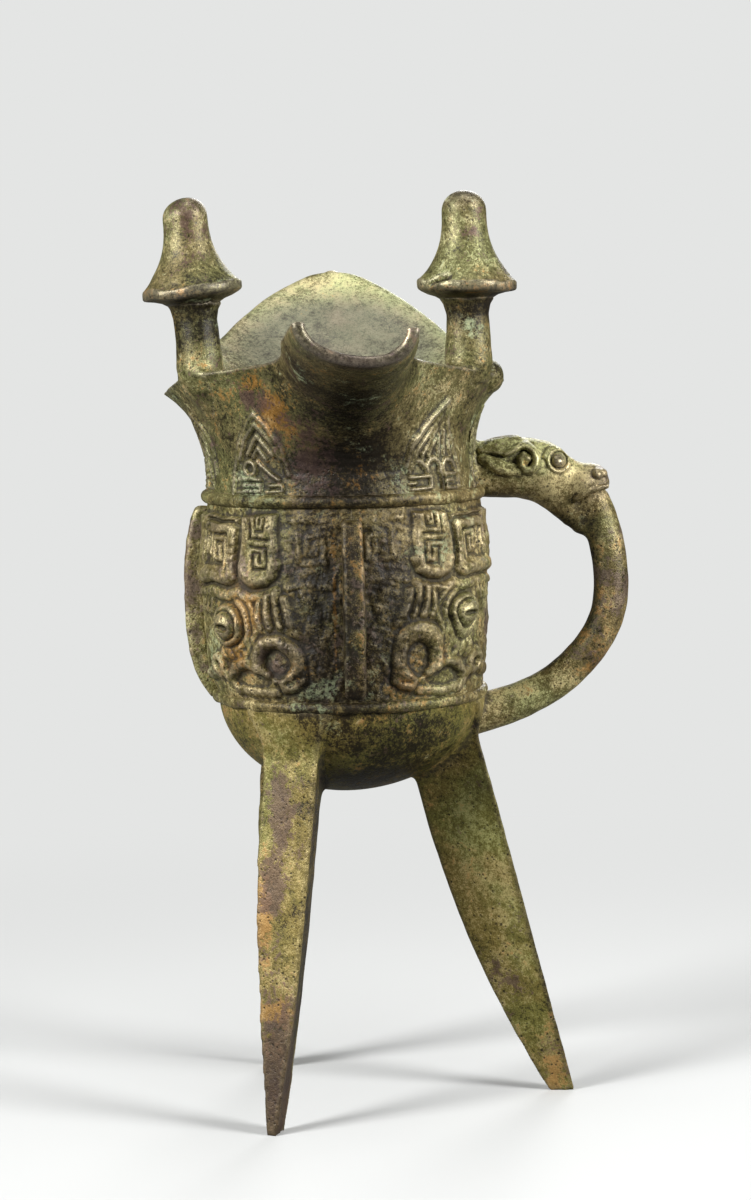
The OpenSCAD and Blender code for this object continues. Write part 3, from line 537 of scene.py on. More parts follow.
# Pieces that flow into each other share their colours, so no seam shows between them
CUP_COLOURS = dict(pale=rgb(172, 163, 124), skin=rgb(106, 95, 62), deep=rgb(42, 33, 16),
    ochre=rgb(136, 98, 44), purple=rgb(96, 80, 70), crust=rgb(124, 134, 102), metal=rgb(168, 154, 126))
FOOT_COLOURS = dict(pale=rgb(150, 140, 98), skin=rgb(114, 103, 56), deep=rgb(46, 37, 18),
    ochre=rgb(146, 108, 58), purple=rgb(90, 70, 60), crust=rgb(138, 142, 104), metal=rgb(156, 144, 112))
MOUTH_COLOURS = dict(pale=rgb(166, 160, 126), skin=rgb(104, 96, 64), deep=rgb(42, 34, 18),
    ochre=rgb(138, 94, 30), purple=rgb(84, 62, 56), crust=rgb(148, 160, 126), metal=rgb(160, 150, 134))
MASK = finish_of("cup_band_bronze", depth=0.3, **CUP_COLOURS, tone=0.5, ochre_amount=0.24,
    purple_amount=0.3, crust_amount=0.32, speck_amount=0.9, rub_amount=0.45)
BOWL = finish_of("cup_bottom_bronze", depth=0.24, **FOOT_COLOURS, tone=0.4, ochre_amount=0.3,
    purple_amount=0.3, crust_amount=0.2, speck_amount=1.0, rub_amount=0.2)
MOUTH = finish_of("mouth_bronze_skin", depth=0.22, **MOUTH_COLOURS, tone=0.48, ochre_amount=0.3,
    purple_amount=0.3, crust_amount=0.28, speck_amount=0.9, rub_amount=0.4)
LEG = finish_of("leg_bronze_skin", depth=0.24, **FOOT_COLOURS, tone=0.5, ochre_amount=0.34,
    purple_amount=0.3, crust_amount=0.2, speck_amount=1.0, rub_amount=0.25)
POST = finish_of("post_bronze_skin", depth=0.14, **MOUTH_COLOURS, tone=0.48, ochre_amount=0.34,
    purple_amount=0.34, crust_amount=0.24, speck_amount=0.9, rub_amount=0.35)
HANDLE = finish_of("handle_bronze_skin", depth=0.22, **CUP_COLOURS, tone=0.58, ochre_amount=0.34,
    purple_amount=0.32, crust_amount=0.22, speck_amount=0.9, rub_amount=0.4)
FLANGE = finish_of("flange_bronze_skin", depth=0.3, **CUP_COLOURS, tone=0.46, ochre_amount=0.3,
    purple_amount=0.36, crust_amount=0.32, speck_amount=0.9, rub_amount=0.45)

# %% [markdown]
# ## The cup
# The cup is a deep bowl with a band of relief round it. On the real vessel, the relief came from
# mould sections that met under the flanges, and the band is made here in the same way: a turned
# bowl with a shallow recess, and four panels set in it whose edges meet under the flanges and
# behind the handle.

# %% The turned bowl
cup_r = 31.6
cup_swell = 1.7
cup_wall = 2.6
bottom_z = 74.0
collar_r = 31.3
band_h = upper_z - lower_z
bottom_h = lower_z - bottom_z
panel_t = 1.6


def wall_r(z):
    """Outer radius of the wall at a height in the mask band."""
    return cup_r + cup_swell * np.sin(np.pi * (np.asarray(z, float) - lower_z) / band_h)


def bowl_outline():
    around = np.radians(np.linspace(0, 90, 40))
    outer = [(cup_r * math.sin(a), lower_z - bottom_h * math.cos(a)) for a in around]
    inner = [((cup_r - cup_wall) * math.sin(a), lower_z - (bottom_h - cup_wall) * math.cos(a))
        for a in around]
    heights = np.linspace(lower_z + 0.6, upper_z - 0.2, 24)
    recess = [(float(wall_r(z)) - panel_t, z) for z in heights]
    inside = [(float(wall_r(z)) - cup_wall, z) for z in heights]
    return outer + [(cup_r, lower_z + 0.5)] + recess + inside[::-1] + inner[::-1]


bowl = turned("cup_bowl", bowl_outline(), steps=192)
unevened(bowl, 14, 0.12, 3, keep=lambda p: p[:, 2] < lower_z - 1)
hand_over(bowl, ["cup"], BOWL, reach=2.5)

# %% [markdown]
# ## The masks
# Each mask is a beast's face cut in two by a flange, so a quarter of the band holds half a face:
# a square hooked horn, a plume with fine squared spirals, an eye boss in its socket, a pointed
# ear, and a jaw that ends in a big curl. The drawing below is unrolled: u runs in millimetres from
# the middle of the face, v from the lower border. Strokes are raised bands or cut lines with a
# width and a height, and the panel's surface is pushed out by what they add up to.

# %% Strokes that build a relief
def run_distance(u, v, path):
    """Distance from each point to a line through the points of a path."""
    best = np.full(u.shape, 1e9)
    for (u0, v0), (u1, v1) in zip(path[:-1], path[1:]):
        du, dv = u1 - u0, v1 - v0
        t = np.clip(((u - u0) * du + (v - v0) * dv) / (du * du + dv * dv + 1e-9), 0, 1)
        best = np.minimum(best, np.hypot(u - u0 - t * du, v - v0 - t * dv))
    return best


def band_of(distance, width, edge):
    """1 inside a band of a width, falling softly to 0 across its edge."""
    x = np.clip((width / 2 + edge / 2 - distance) / edge, 0, 1)
    return x * x * (3 - 2 * x)


def rounded_band(distance, width):
    """The same with a round back and sloping sides, as a mould leaves it."""
    x = np.clip(1 - (1.6 * distance / width) ** 2, 0, 1)
    return x ** 0.6


def arc_path(cu, cv, r, a0, a1):
    """Points of an arc round cu and cv, from one angle in degrees to another."""
    return [(cu + r * math.cos(math.radians(a)), cv + r * math.sin(math.radians(a)))
        for a in np.linspace(a0, a1, 24)]


def inside_of(u, v, corners, soft):
    """1 inside a shape with straight sides, soft at its edge."""
    inside = np.zeros(u.shape, bool)
    for (u0, v0), (u1, v1) in zip(corners, corners[1:] + corners[:1]):
        crosses = (v0 > v) != (v1 > v)
        inside ^= crosses & (u < (u1 - u0) * (v - v0) / (v1 - v0 + 1e-12) + u0)
    d = run_distance(u, v, corners + corners[:1])
    return band_of(np.where(inside, -d, d), 0.0, soft)


# %% The drawing of half a mask
HORN_SLAB = [(3.0, 28.2), (9.0, 27.8), (20.6, 27.7), (22.5, 29.0), (22.8, 42.9), (3.0, 43.0)]
HORN_BAND = [(10.6, 40.2), (19.8, 40.4), (21.2, 39.2), (21.3, 30.8), (20.0, 29.4), (9.4, 29.3)]
HORN_FILLING = [
    [(12.9, 38.6), (12.9, 34.4)], [(10.2, 38.8), (10.2, 34.4)],
    [(14.6, 31.3), (18.9, 31.4), (19.0, 38.0), (14.7, 38.1), (14.7, 33.6), (17.0, 33.5), (17.0, 36.3),
        (16.2, 36.4)],
]
PLUME = [
    (24.0, 43.6), (24.0, 30.4), (25.0, 28.7), (27.4, 27.9), (30.2, 28.0), (32.4, 29.2), (33.4, 31.6),
    (33.7, 43.6),
]
PLUME_FOOT = [(24.9, 32.0), (25.5, 30.1), (27.6, 29.2), (30.2, 29.3), (31.9, 30.4), (32.6, 32.4)]
PLUME_LINES = [
    [(26.4, 43.4), (26.9, 38.3), (31.8, 38.4)],
    [(28.2, 43.4), (28.3, 40.0), (30.8, 40.0), (31.0, 43.2), (29.6, 43.2), (29.6, 41.4)],
    [(27.0, 36.7), (31.5, 36.7), (31.5, 31.4), (28.1, 31.4), (28.1, 35.3), (29.9, 35.3), (29.9, 32.8)],
]
GAPS = [
    [(9.8, 42.0), (21.4, 42.0), (23.0, 40.6), (23.3, 36.0), (23.25, 28.2)],
    [(7.0, 26.9), (14.0, 27.0), (21.4, 26.7), (23.2, 27.5), (24.8, 26.6), (28.3, 26.3), (31.8, 26.9),
        (33.8, 28.6)],
]
WORN = [
    ([(38.4, 39.4), (38.6, 33.0), (44.4, 33.0), (44.2, 38.6), (40.4, 38.6), (40.4, 34.9), (42.5, 34.9),
        (42.5, 36.9)], 1.2, 0.42),
    ([(40.2, 26.0), (42.6, 22.0), (41.4, 17.6), (44.2, 12.0), (43.6, 8.6)], 2.6, 0.45),
    ([(43.0 + 2.2 * math.cos(math.radians(a)), 8.4 + 2.2 * math.sin(math.radians(a)))
        for a in range(-30, 261, 20)], 1.4, 0.42),
    ([(36.0, 27.4), (41.0, 28.2), (46.0, 27.4)], 1.6, 0.45), ([(36.6, 42.6), (44.6, 42.4)], 1.4, 0.35),
]
BROW = [
    (5.5, 25.2), (10.0, 25.5), (15.0, 25.6), (20.0, 25.1), (23.2, 26.1), (26.0, 25.0), (30.0, 25.1),
    (33.4, 26.3),
]
EAR = [
    (27.8, 17.0), (28.4, 21.5), (31.0, 26.0), (33.6, 26.6), (36.6, 23.6), (38.8, 17.6), (38.8, 15.6),
    (33.0, 16.6),
]
FEATHERS = [
    [(29.4, 23.4), (29.5, 20.4), (30.3, 18.6)], [(31.2, 25.2), (31.4, 21.6), (32.5, 18.4)],
    [(33.2, 25.8), (33.6, 22.2), (34.8, 18.6)], [(35.3, 24.6), (35.9, 21.6), (37.0, 18.8)],
]
FEATHER_GAPS = [
    [(30.3, 24.6), (30.5, 20.4), (31.5, 17.6)], [(32.3, 25.4), (32.6, 21.8), (33.8, 17.8)],
    [(34.4, 25.4), (34.9, 21.6), (36.1, 18.2)],
]
LIP = [(20.4, 6.6), (21.8, 9.0), (24.8, 10.1), (28.0, 9.3), (30.2, 7.2)]
CHEEK = [(15.0, 9.8), (17.6, 13.6), (23.0, 16.4), (28.0, 16.4), (29.0, 12.4), (27.6, 9.6), (22.0, 10.6)]
CHEEK_GROOVES = [
    [(18.0, 13.0), (19.4, 11.2), (20.0, 10.0)], [(20.4, 13.9), (21.4, 12.2), (22.2, 10.8)],
    [(22.6, 15.0), (23.4, 12.8), (24.4, 11.2)], [(24.8, 15.8), (25.2, 13.6), (26.4, 11.2)],
    [(26.6, 16.4), (27.0, 14.4), (27.9, 12.6)],
]
EYE = (20.2, 18.3)
CURL = (33.2, 10.4)
SMALL_CURL = (15.2, 8.6)


# %% The relief of half a mask
def mask_relief(u, v):
    """Height in millimetres over the wall at u and v."""
    h = np.zeros(u.shape)

    def raise_to(shape, height):
        # Forms flow into each other where they meet
        nonlocal h
        together = (np.maximum(h, 0) ** 5 + (shape * height) ** 5) ** 0.2
        h = np.where(h > 0, together, np.maximum(h, shape * height))

    def cut(shape, depth):
        nonlocal h
        h = h - shape * depth

    def stroke(path, width, height):
        raise_to(rounded_band(run_distance(u, v, path), width), height)

    def groove(path, width, edge, depth):
        cut(band_of(run_distance(u, v, path), width, edge), depth)

    # Horn and plume hang side by side as slabs with thick rounded ends
    raise_to(inside_of(u, v, HORN_SLAB, 0.9), 1.3)
    raise_to(inside_of(u, v, PLUME, 0.9), 1.4)
    cut(inside_of(u, v, [(9.0, 31.0), (20.0, 31.0), (20.0, 39.6), (9.0, 39.6)], 0.8), 1.0)
    for path in HORN_FILLING:
        stroke(path, 1.25, 1.2)
    raise_to(band_of(run_distance(u, v, HORN_BAND), 2.4, 0.9), 1.55)
    stroke([(6.0, 29.5), (19.4, 29.6)], 3.6, 1.85)
    stroke(PLUME_FOOT, 3.2, 1.85)
    for path in PLUME_LINES:
        groove(path, 0.4, 0.5, 0.7)
    for tooth in (33.0, 34.7, 36.4):
        groove([(20.8, tooth), (22.4, tooth)], 0.3, 0.5, 0.6)
    for path in GAPS:
        groove(path, 0.8, 0.7, 1.5)
    stroke(BROW, 2.3, 1.0)

    # The ear: a leaf with feathers that hang like fingers
    raise_to(inside_of(u, v, EAR, 1.8), 0.95)
    for path in FEATHERS:
        stroke(path, 1.9, 1.6)
    for path in FEATHER_GAPS:
        groove(path, 0.25, 0.6, 0.5)
    # The cheek between eye and jaw, combed with wavy lines
    raise_to(inside_of(u, v, CHEEK, 2.0), 1.15)
    for path in CHEEK_GROOVES:
        groove(path, 0.35, 0.7, 0.55)
    from_eye = np.hypot(u - EYE[0], v - EYE[1])
    side = band_of(np.abs(np.degrees(np.arctan2(v - EYE[1] + 1.0, u - EYE[0]))), 150.0, 40.0)
    raise_to(rounded_band(np.abs(from_eye - 6.3), 1.8) * side, 1.25)
    raise_to(rounded_band(np.abs(from_eye - 8.2), 1.5) * side, 0.95)

    # The jaw: a large curl round a hollow, with a claw at its end
    from_curl = np.hypot(u - CURL[0], v - CURL[1])
    raise_to(band_of(from_curl, 13.0, 3.0), 0.6)
    cut(np.clip(1 - (from_curl / 4.0) ** 2, 0, 1) ** 0.6, 1.7)
    stroke(arc_path(*CURL, 4.8, 200, -45), 3.0, 2.3)
    claw = [(38.6, 8.0), (38.6, 6.0), (37.0, 4.8), (35.2, 4.5), (34.7, 5.8), (36.4, 7.4)]
    stroke(claw, 1.9, 1.8)
    stroke(LIP, 2.5, 1.8)
    stroke([(20.6, 3.4), (26.0, 3.0), (33.0, 3.6)], 1.9, 0.9)
    stroke([(17.0, 7.4), (19.0, 5.6), (20.6, 3.2)], 2.3, 1.5)
    stroke(arc_path(*SMALL_CURL, 1.9, 0, 350), 2.1, 1.7)
    stroke([(13.6, 7.8), (10.6, 6.4), (7.0, 5.8)], 2.6, 1.2)
    for step in range(4):
        stroke([(6.6 + 1.9 * step, 21.2), (8.0 + 1.9 * step, 24.0)], 1.4, 0.8)
    for step in range(5):
        groove([(5.2, 9.5 + 2.2 * step), (8.6, 10.6 + 2.2 * step)], 0.3, 0.7, 0.5)
    # Beside the flange at the quarter's end the drawing is worn to faint lines
    for path, width, height in WORN:
        stroke(path, width, height)

    cut(np.clip(1 - (np.hypot(u - SMALL_CURL[0], v - SMALL_CURL[1]) / 1.1) ** 2, 0, 1), 1.2)
    cut(np.clip(1 - ((u - 26.0) / 5.6) ** 2 - ((v - 5.9) / 1.9) ** 2, 0, 1) ** 0.5, 1.6)
    # The eye: a round ball that stands far out of a thick lid, with a slit pupil
    cut(band_of(np.abs(from_eye - 5.1), 0.5, 0.8), 0.7)
    raise_to(rounded_band(np.abs(from_eye - 3.9), 2.0), 2.1)
    boss = np.sqrt(np.clip(3.6 ** 2 - from_eye ** 2, 0, None)) * 0.85 + 0.9
    h = np.where((from_eye < 3.6) & (boss > h - 0.9), boss, h)
    cut(band_of(np.abs(from_eye - 3.3), 0.2, 0.6), 0.5)
    slit = np.clip(1 - ((u - EYE[0] - 0.2) / 2.1) ** 2 - ((v - EYE[1] + 0.5) / 0.95) ** 2, 0, 1) ** 0.5
    cut(slit, 1.9)
    return h


# %% Four panels in the recess
PANEL_STEP = 0.23


def soften(h, rounds):
    for _ in range(rounds):
        p = np.pad(h, 1, mode="edge")
        h = (4 * h + p[:-2, 1:-1] + p[2:, 1:-1] + p[1:-1, :-2] + p[1:-1, 2:]) / 8
    return h


def panel(name, middle, turn, end_gap, seed):
    """A quarter of the band, from the middle of a face towards turn, ending end_gap past 90 degrees."""
    arc = math.radians(90 + end_gap) * cup_r
    us = np.linspace(0, arc, int(arc / PANEL_STEP))
    vs = np.linspace(0, band_h, int(band_h / PANEL_STEP))
    u, v = np.meshgrid(us, vs, indexing="ij")
    # A hand-cut drawing is never quite straight
    wander_u = 0.35 * ripple(u, v, 0 * u + seed, 11, seed)
    wander_v = 0.3 * ripple(u, v, 0 * u - seed, 9, seed + 50)
    if middle == 0 and turn < 0:
        # Between the front flange and the handle the drawing sits higher and nearer to the flange
        wander_u = wander_u - 1.1
        wander_v = wander_v - np.interp(v, [0, 10, 19, 27, 42, 46], [0, -0.2, 2.5, 1.3, 0.1, 0])
    h = mask_relief(u + wander_u, v + wander_v)
    # The relief is flatter beside the flange at the quarter's end, and all over the handle's side
    worn = 1 - 0.45 * band_of(np.abs(u - 43.0), 7.0, 9.0)
    if middle == 0:
        worn = worn * 0.88
    h = h * worn + 0.17 * ripple(u, v, 0 * u, 5, seed + 7) + 0.11 * ripple(u, v, 0 * u, 2.2, seed + 9)
    h = h + 0.07 * ripple(u, v, 0 * u, 1.1, seed + 11)
    ends = band_of(np.abs(u - arc / 2), arc - 1.2, 1.2) * band_of(np.abs(v - band_h / 2), band_h - 1.4, 1.2)
    h = soften(h, 1) * ends
    angle = math.radians(middle) + turn * u / cup_r
    outer = wall_r(lower_z + v) + h
    inner = wall_r(lower_z + v) - panel_t - 0.1
    # The back is hidden in the recess, so a few rows are enough there
    few = np.linspace(0, len(vs) - 1, 9).astype(int)
    front = np.stack([outer * np.cos(angle), outer * np.sin(angle), lower_z + v], -1)
    back = np.stack([inner * np.cos(angle), inner * np.sin(angle), lower_z + v], -1)[:, few]
    a = np.arange(u.size).reshape(u.shape)
    b = u.size + np.arange(len(us) * len(few)).reshape(len(us), len(few))
    faces = []
    for grid in (a, b):
        faces += quads_of(grid).tolist()
    # The rims of front and back are joined
    for k in (0, -1):
        faces += np.stack([a[:-1, k], a[1:, k], b[1:, k], b[:-1, k]], -1).tolist()
        faces.append(a[k].tolist() + b[k, ::-1].tolist())
    piece = from_faces(name, np.concatenate([front.reshape(-1, 3), back.reshape(-1, 3)]), faces)
    clean(piece, 0.0005)
    return piece


front_gap = 1.5
QUARTERS = [
    ("front_left", 180, 1, front_gap, 11), ("back_left", 180, -1, 0, 12),
    ("front_handle", 0, -1, -front_gap, 13), ("back_handle", 0, 1, 0, 14),
]
for quarter, middle, turn, end_gap, seed in QUARTERS:
    face = "left_mask_" if middle == 180 else "handle_mask_"
    piece = panel("mask_panel_" + quarter, middle, turn, end_gap, seed)
    nodes = [face + "horns", face + "eyes", face + "jaws", "cup"]
    hand_over(piece, nodes, MASK, reach=1.5)

# %% [markdown]
# ## The borders
# Two ridges frame the band. They were drawn in the mould with a strip of clay, so they are nearly
# true rings with a soft, slightly wandering back. A turned ring with a little unevenness shows that.

# %% Border rings
bead_out = 0.3


def border(name, z, half_height, proud, seed):
    angles = np.radians(np.linspace(-90, 90, 13))
    back = [(cup_r + bead_out + proud * math.cos(a), z + half_height * math.sin(a)) for a in angles]
    ring = turned(name, back + [(cup_r - 1.2, z + half_height), (cup_r - 1.2, z - half_height)], steps=256)
    unevened(ring, 9, 0.16, seed, keep=lambda p: np.hypot(p[:, 0], p[:, 1]) > cup_r)
    unevened(ring, 3, 0.08, seed + 1, keep=lambda p: np.hypot(p[:, 0], p[:, 1]) > cup_r)
    return ring


top_border = border("upper_border_ring", upper_z + 0.2, 1.5, 1.35, 21)
hand_over(top_border, ["upper_border"], MASK, reach=1.2)
low_border = border("lower_border_ring", lower_z, 1.3, 1.15, 23)
hand_over(low_border, ["lower_border"], MASK, reach=1.2)

# %% [markdown]
# ## The mouth
# Above the upper border the wall rises and flares to a rim that runs in one sweep from the spout's
# horns, past the posts, to the tail's point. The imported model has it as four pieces. Here it is one
# continuous sheet, because on the casting nothing parts them: the same curves are walked in finer
# steps, the rim gets a rounded edge, and the blades on the neck are pushed out of the sheet.

# %% The rim and the curves that hang from it
mouth_half_w, mouth_wide_y, mouth_rise, mouth_tilt, mouth_lean = 39.8, 8.0, 18.0, 0.9, 1.6
rim_wall, post_rim_x, post_rim_rise, post_y = 2.5, 34.0, 21.4, 14.0
spout_reach, lip_half_w, horn_rise, horn_tilt = 80.0, 13.2, 33.1, 0.8
lip_shift, lip_low_x, lip_low_rise = 1.2, 4.5, 24.5
root_half_w, root_reach, root_rise = 16.2, 36.0, 25.0
tail_reach, tail_rise, tail_hollow = 78.0, 45.5, 8.0
tail_root_half_w, tail_root_reach, tail_root_rise = 37.2, 28.0, 20.4
spout_arc, tail_arc = 35.0, 45.0
rim_at_root, rim_at_tail, rim_near_point = 2.0, 5.0, 7.85


def rim_points(side):
    """Places on the rim from the horn of the spout to the point of the tail, and one beyond it."""
    horn = np.array([lip_shift + side * lip_half_w, -spout_reach, joint_z + horn_rise - side * horn_tilt])
    root = np.array([side * root_half_w, -root_reach, joint_z + root_rise])
    post = np.array([side * post_rim_x - mouth_lean, -post_y - 2, joint_z + post_rim_rise])
    wide = np.array([side * mouth_half_w - mouth_lean, mouth_wide_y,
        joint_z + mouth_rise + side * mouth_tilt])
    tail_root = np.array([side * tail_root_half_w - mouth_lean / 2, tail_root_reach,
        joint_z + tail_root_rise])
    half_way = np.array([side * tail_root_half_w * 0.77, lerp(tail_root_reach, tail_reach, 0.58),
        joint_z + lerp(tail_root_rise, tail_rise, 0.35)])
    near = np.array([side * tail_root_half_w * 0.42, lerp(tail_root_reach, tail_reach, 0.87),
        joint_z + lerp(tail_root_rise, tail_rise, 0.76)])
    point = np.array([0.0, tail_reach, joint_z + tail_rise])
    far = near * np.array([-1, 1, 1])
    between = (horn + root) / 2 + np.array([0, 0, 0.7])
    return [horn, between, root, post, wide, tail_root, half_way, near, point, far]


def smooth_through(p, s):
    """A smooth curve through a list of points, which passes point i at s = i."""
    i = min(int(math.floor(s)), len(p) - 3)
    t = s - i
    p0 = p[i - 1] if i > 0 else 2 * p[0] - p[1]
    p1, p2, p3 = p[i], p[i + 1], p[i + 2]
    return 0.5 * (2 * p1 + t * (p2 - p0) + t * t * (2 * p0 - 5 * p1 + 4 * p2 - p3)
        + t ** 3 * (3 * p1 - p0 - 3 * p2 + p3))


def rim(side, s, inset):
    """The rim at s, on its outer edge, or on its inner one where inset is 1."""
    p = rim_points(side)
    d = smooth_through(p, s + 0.01) - smooth_through(p, max(s - 0.01, 0))
    n = side * np.array([-d[1], d[0]]) / math.hypot(d[0], d[1])
    return smooth_through(p, s) + inset * rim_wall * np.array([n[0], n[1], 0])


def bend(p0, d0, p1, d1, t):
    """A curve from p0 to p1 that leaves along d0 and arrives along d1."""
    return (p0 * (2 * t ** 3 - 3 * t * t + 1) + d0 * (t ** 3 - 2 * t * t + t)
        + p1 * (3 * t * t - 2 * t ** 3) + d1 * (t ** 3 - t * t))


def wall_point(side, s, t, inset):
    """The wall between the collar, at t = 0, and the rim, at t = 1."""
    r = collar_r - inset * cup_wall
    a = math.radians(lerp(spout_arc - 90, 90 - tail_arc, (s - rim_at_root) / (rim_at_tail - rim_at_root)))
    foot = np.array([side * r * math.cos(a), r * math.sin(a), joint_z])
    edge = rim(side, s, inset)
    rise = edge[2] - joint_z
    return bend(foot, np.array([0, 0, 0.9 * rise]), edge,
        np.array([2 * (edge[0] - foot[0]), 2 * (edge[1] - foot[1]), 0.9 * rise]), t)


def cubic(c, t):
    """A place on a curve of four control points, and the curve's direction there."""
    c = [np.array(p) for p in c]
    place = c[0] * (1 - t) ** 3 + c[1] * 3 * t * (1 - t) ** 2 + c[2] * 3 * t * t * (1 - t) + c[3] * t ** 3
    slope = (c[1] - c[0]) * (1 - t) ** 2 + (c[2] - c[1]) * 2 * t * (1 - t) + (c[3] - c[2]) * t * t
    return place, slope / np.linalg.norm(slope)


# The bottom lines of spout and tail, as y and z
SPOUT_LINE = [(-collar_r, joint_z), (-collar_r - 1.5, joint_z + lip_low_rise * 0.42),
    (-lerp(collar_r, spout_reach, 0.52), joint_z + lip_low_rise * 0.78),
    (-spout_reach, joint_z + lip_low_rise)]
TAIL_LINE = [(collar_r, joint_z), (collar_r + 1.5, joint_z + tail_rise * 0.25),
    (lerp(collar_r, tail_reach, 0.66), joint_z + tail_rise * 0.82 - tail_hollow * 1.3),
    (tail_reach, joint_z + tail_rise)]


def spout_mid(t, inset):
    p, d = cubic(SPOUT_LINE, t)
    wall = lerp(cup_wall, rim_wall, t)
    return np.array([lip_low_x * t * t, p[0] + inset * wall * d[1], p[1] - inset * wall * d[0]])


def tail_mid(t, inset):
    p, d = cubic(TAIL_LINE, t)
    n = lerp(np.array([-d[1], d[0]]), np.array([-1.0, 0.0]), t ** 3)
    wall = lerp(cup_wall, rim_wall, t)
    return np.array([0.0, p[0] + inset * wall * n[0], p[1] + inset * wall * n[1]])


def hang(left_edge, right_edge, mid, half_arc, us):
    """Points on the arc that hangs between two edge points, with its middle at mid."""
    half = math.radians(half_arc)
    a = np.abs(us) * half
    across = (np.sin(a) / math.sin(half))[:, None]
    up = ((1 - np.cos(a)) / (1 - math.cos(half)))[:, None]
    edge = np.where((us < 0)[:, None], left_edge, right_edge)
    return np.concatenate([lerp(mid[0], edge[:, :1], across), lerp(mid[1:], edge[:, 1:], up)], 1)


# %% The four patches of the sheet, in fine steps
WALL_ROWS, SPOUT_ROWS, TAIL_ROWS = 7, 12, 12
spout_fine, tail_fine = 84, 60
channel_columns, side_columns, tail_columns = 124, 134, 90
left, right = -1, 1


def wall_fine(inset):
    """Rows between collar and rim: many outside, where the blades are, and fewer inside."""
    return 22 if inset else 60


def channel(inset, is_spout):
    """The spout's or the tail's patch, row by row from the collar outwards."""
    far_rows, far_fine = (SPOUT_ROWS, spout_fine) if is_spout else (TAIL_ROWS, tail_fine)
    fine = wall_fine(inset)
    us = np.linspace(-1, 1, (channel_columns if is_spout else tail_columns) + 1)
    rows = []
    for k in range(fine + far_fine + 1):
        beyond = (k - fine) / far_fine
        j = k / fine * WALL_ROWS if k <= fine else WALL_ROWS + beyond * far_rows
        t = j / (WALL_ROWS + far_rows)
        root = rim_at_root if is_spout else rim_at_tail
        if k <= fine:
            edges = [wall_point(side, root, k / fine, inset) for side in (left, right)]
        else:
            s = rim_at_root * (1 - beyond) if is_spout else lerp(rim_at_tail, rim_near_point, beyond)
            edges = [rim(side, s, inset) for side in (left, right)]
        if is_spout:
            # The spout closes from a shallow arc to nearly a half circle at its lip
            arc = spout_arc + (88 - spout_arc) * math.sin(math.pi / 2 * t)
            rows.append(hang(*edges, spout_mid(t, inset), arc, us))
        else:
            rows.append(hang(*edges, tail_mid(t, inset), tail_arc + 10 * t, us))
    return np.array(rows)


def side_wall(side, inset):
    places = [lerp(rim_at_root, rim_at_tail, i / side_columns) for i in range(side_columns + 1)]
    fine = wall_fine(inset)
    return np.array([[wall_point(side, s, k / fine, inset) for s in places] for k in range(fine + 1)])


def collar_ring(inset):
    """The plain ring under the joint, down to the upper border, as rows from the bottom up."""
    low_r, high_r = cup_r - inset * cup_wall, collar_r - inset * cup_wall
    steps = 4 if inset else 20
    rows = []
    feet = list(np.linspace(-90 - spout_arc, -90 + spout_arc, channel_columns + 1)[:-1])
    feet += list(np.linspace(-90 + spout_arc, 90 - tail_arc, side_columns + 1)[:-1])
    feet += list(np.linspace(90 - tail_arc, 90 + tail_arc, tail_columns + 1)[:-1])
    feet += list(np.linspace(90 + tail_arc, 270 - spout_arc, side_columns + 1))
    a = np.radians(feet)
    for k in range(steps + 1):
        t = k / steps
        r = lerp(low_r, high_r, t)
        level = np.full(len(a), lerp(upper_z + 0.8, joint_z, t))
        rows.append(np.stack([r * np.cos(a), r * np.sin(a), level], -1))
    return np.array(rows)


# %% One sheet with a rounded rim
rim_bulge = 0.62


def grid_faces(grid, start, flip):
    rows, columns = grid.shape[:2]
    quads = quads_of(start + np.arange(rows * columns).reshape(rows, columns))
    return quads[:, ::-1] if flip else quads


def edge_loop(patches, inset):
    """The free edge, from the left horn round the left side and the tail and back along the lip.

    It gives each point with the direction in which the sheet ends there.
    """
    spout, left_side, right_side, tail = patches
    fine = wall_fine(inset)
    top = slice(fine, None)

    def leave(edge, inner):
        d = edge - inner
        return d / np.maximum(np.linalg.norm(d, axis=-1, keepdims=True), 1e-9)

    parts = [
        (spout[top, 0][::-1], leave(spout[top, 0], spout[top, 2])[::-1]),
        (left_side[-1, 1:], leave(left_side[-1, 1:], left_side[-3, 1:])),
        (tail[fine + 1:, 0], leave(tail[fine + 1:, 0], tail[fine + 1:, 2])),
        (tail[-1, 1:], leave(tail[-1, 1:], tail[-3, 1:])),
        (tail[top, -1][::-1][1:], leave(tail[top, -1], tail[top, -3])[::-1][1:]),
        (right_side[-1][::-1][1:], leave(right_side[-1], right_side[-3])[::-1][1:]),
        (spout[fine + 1:, -1], leave(spout[fine + 1:, -1], spout[fine + 1:, -3])),
        (spout[-1][::-1][1:-1], leave(spout[-1], spout[-3])[::-1][1:-1]),
    ]
    return np.concatenate([p for p, _ in parts]), np.concatenate([d for _, d in parts])


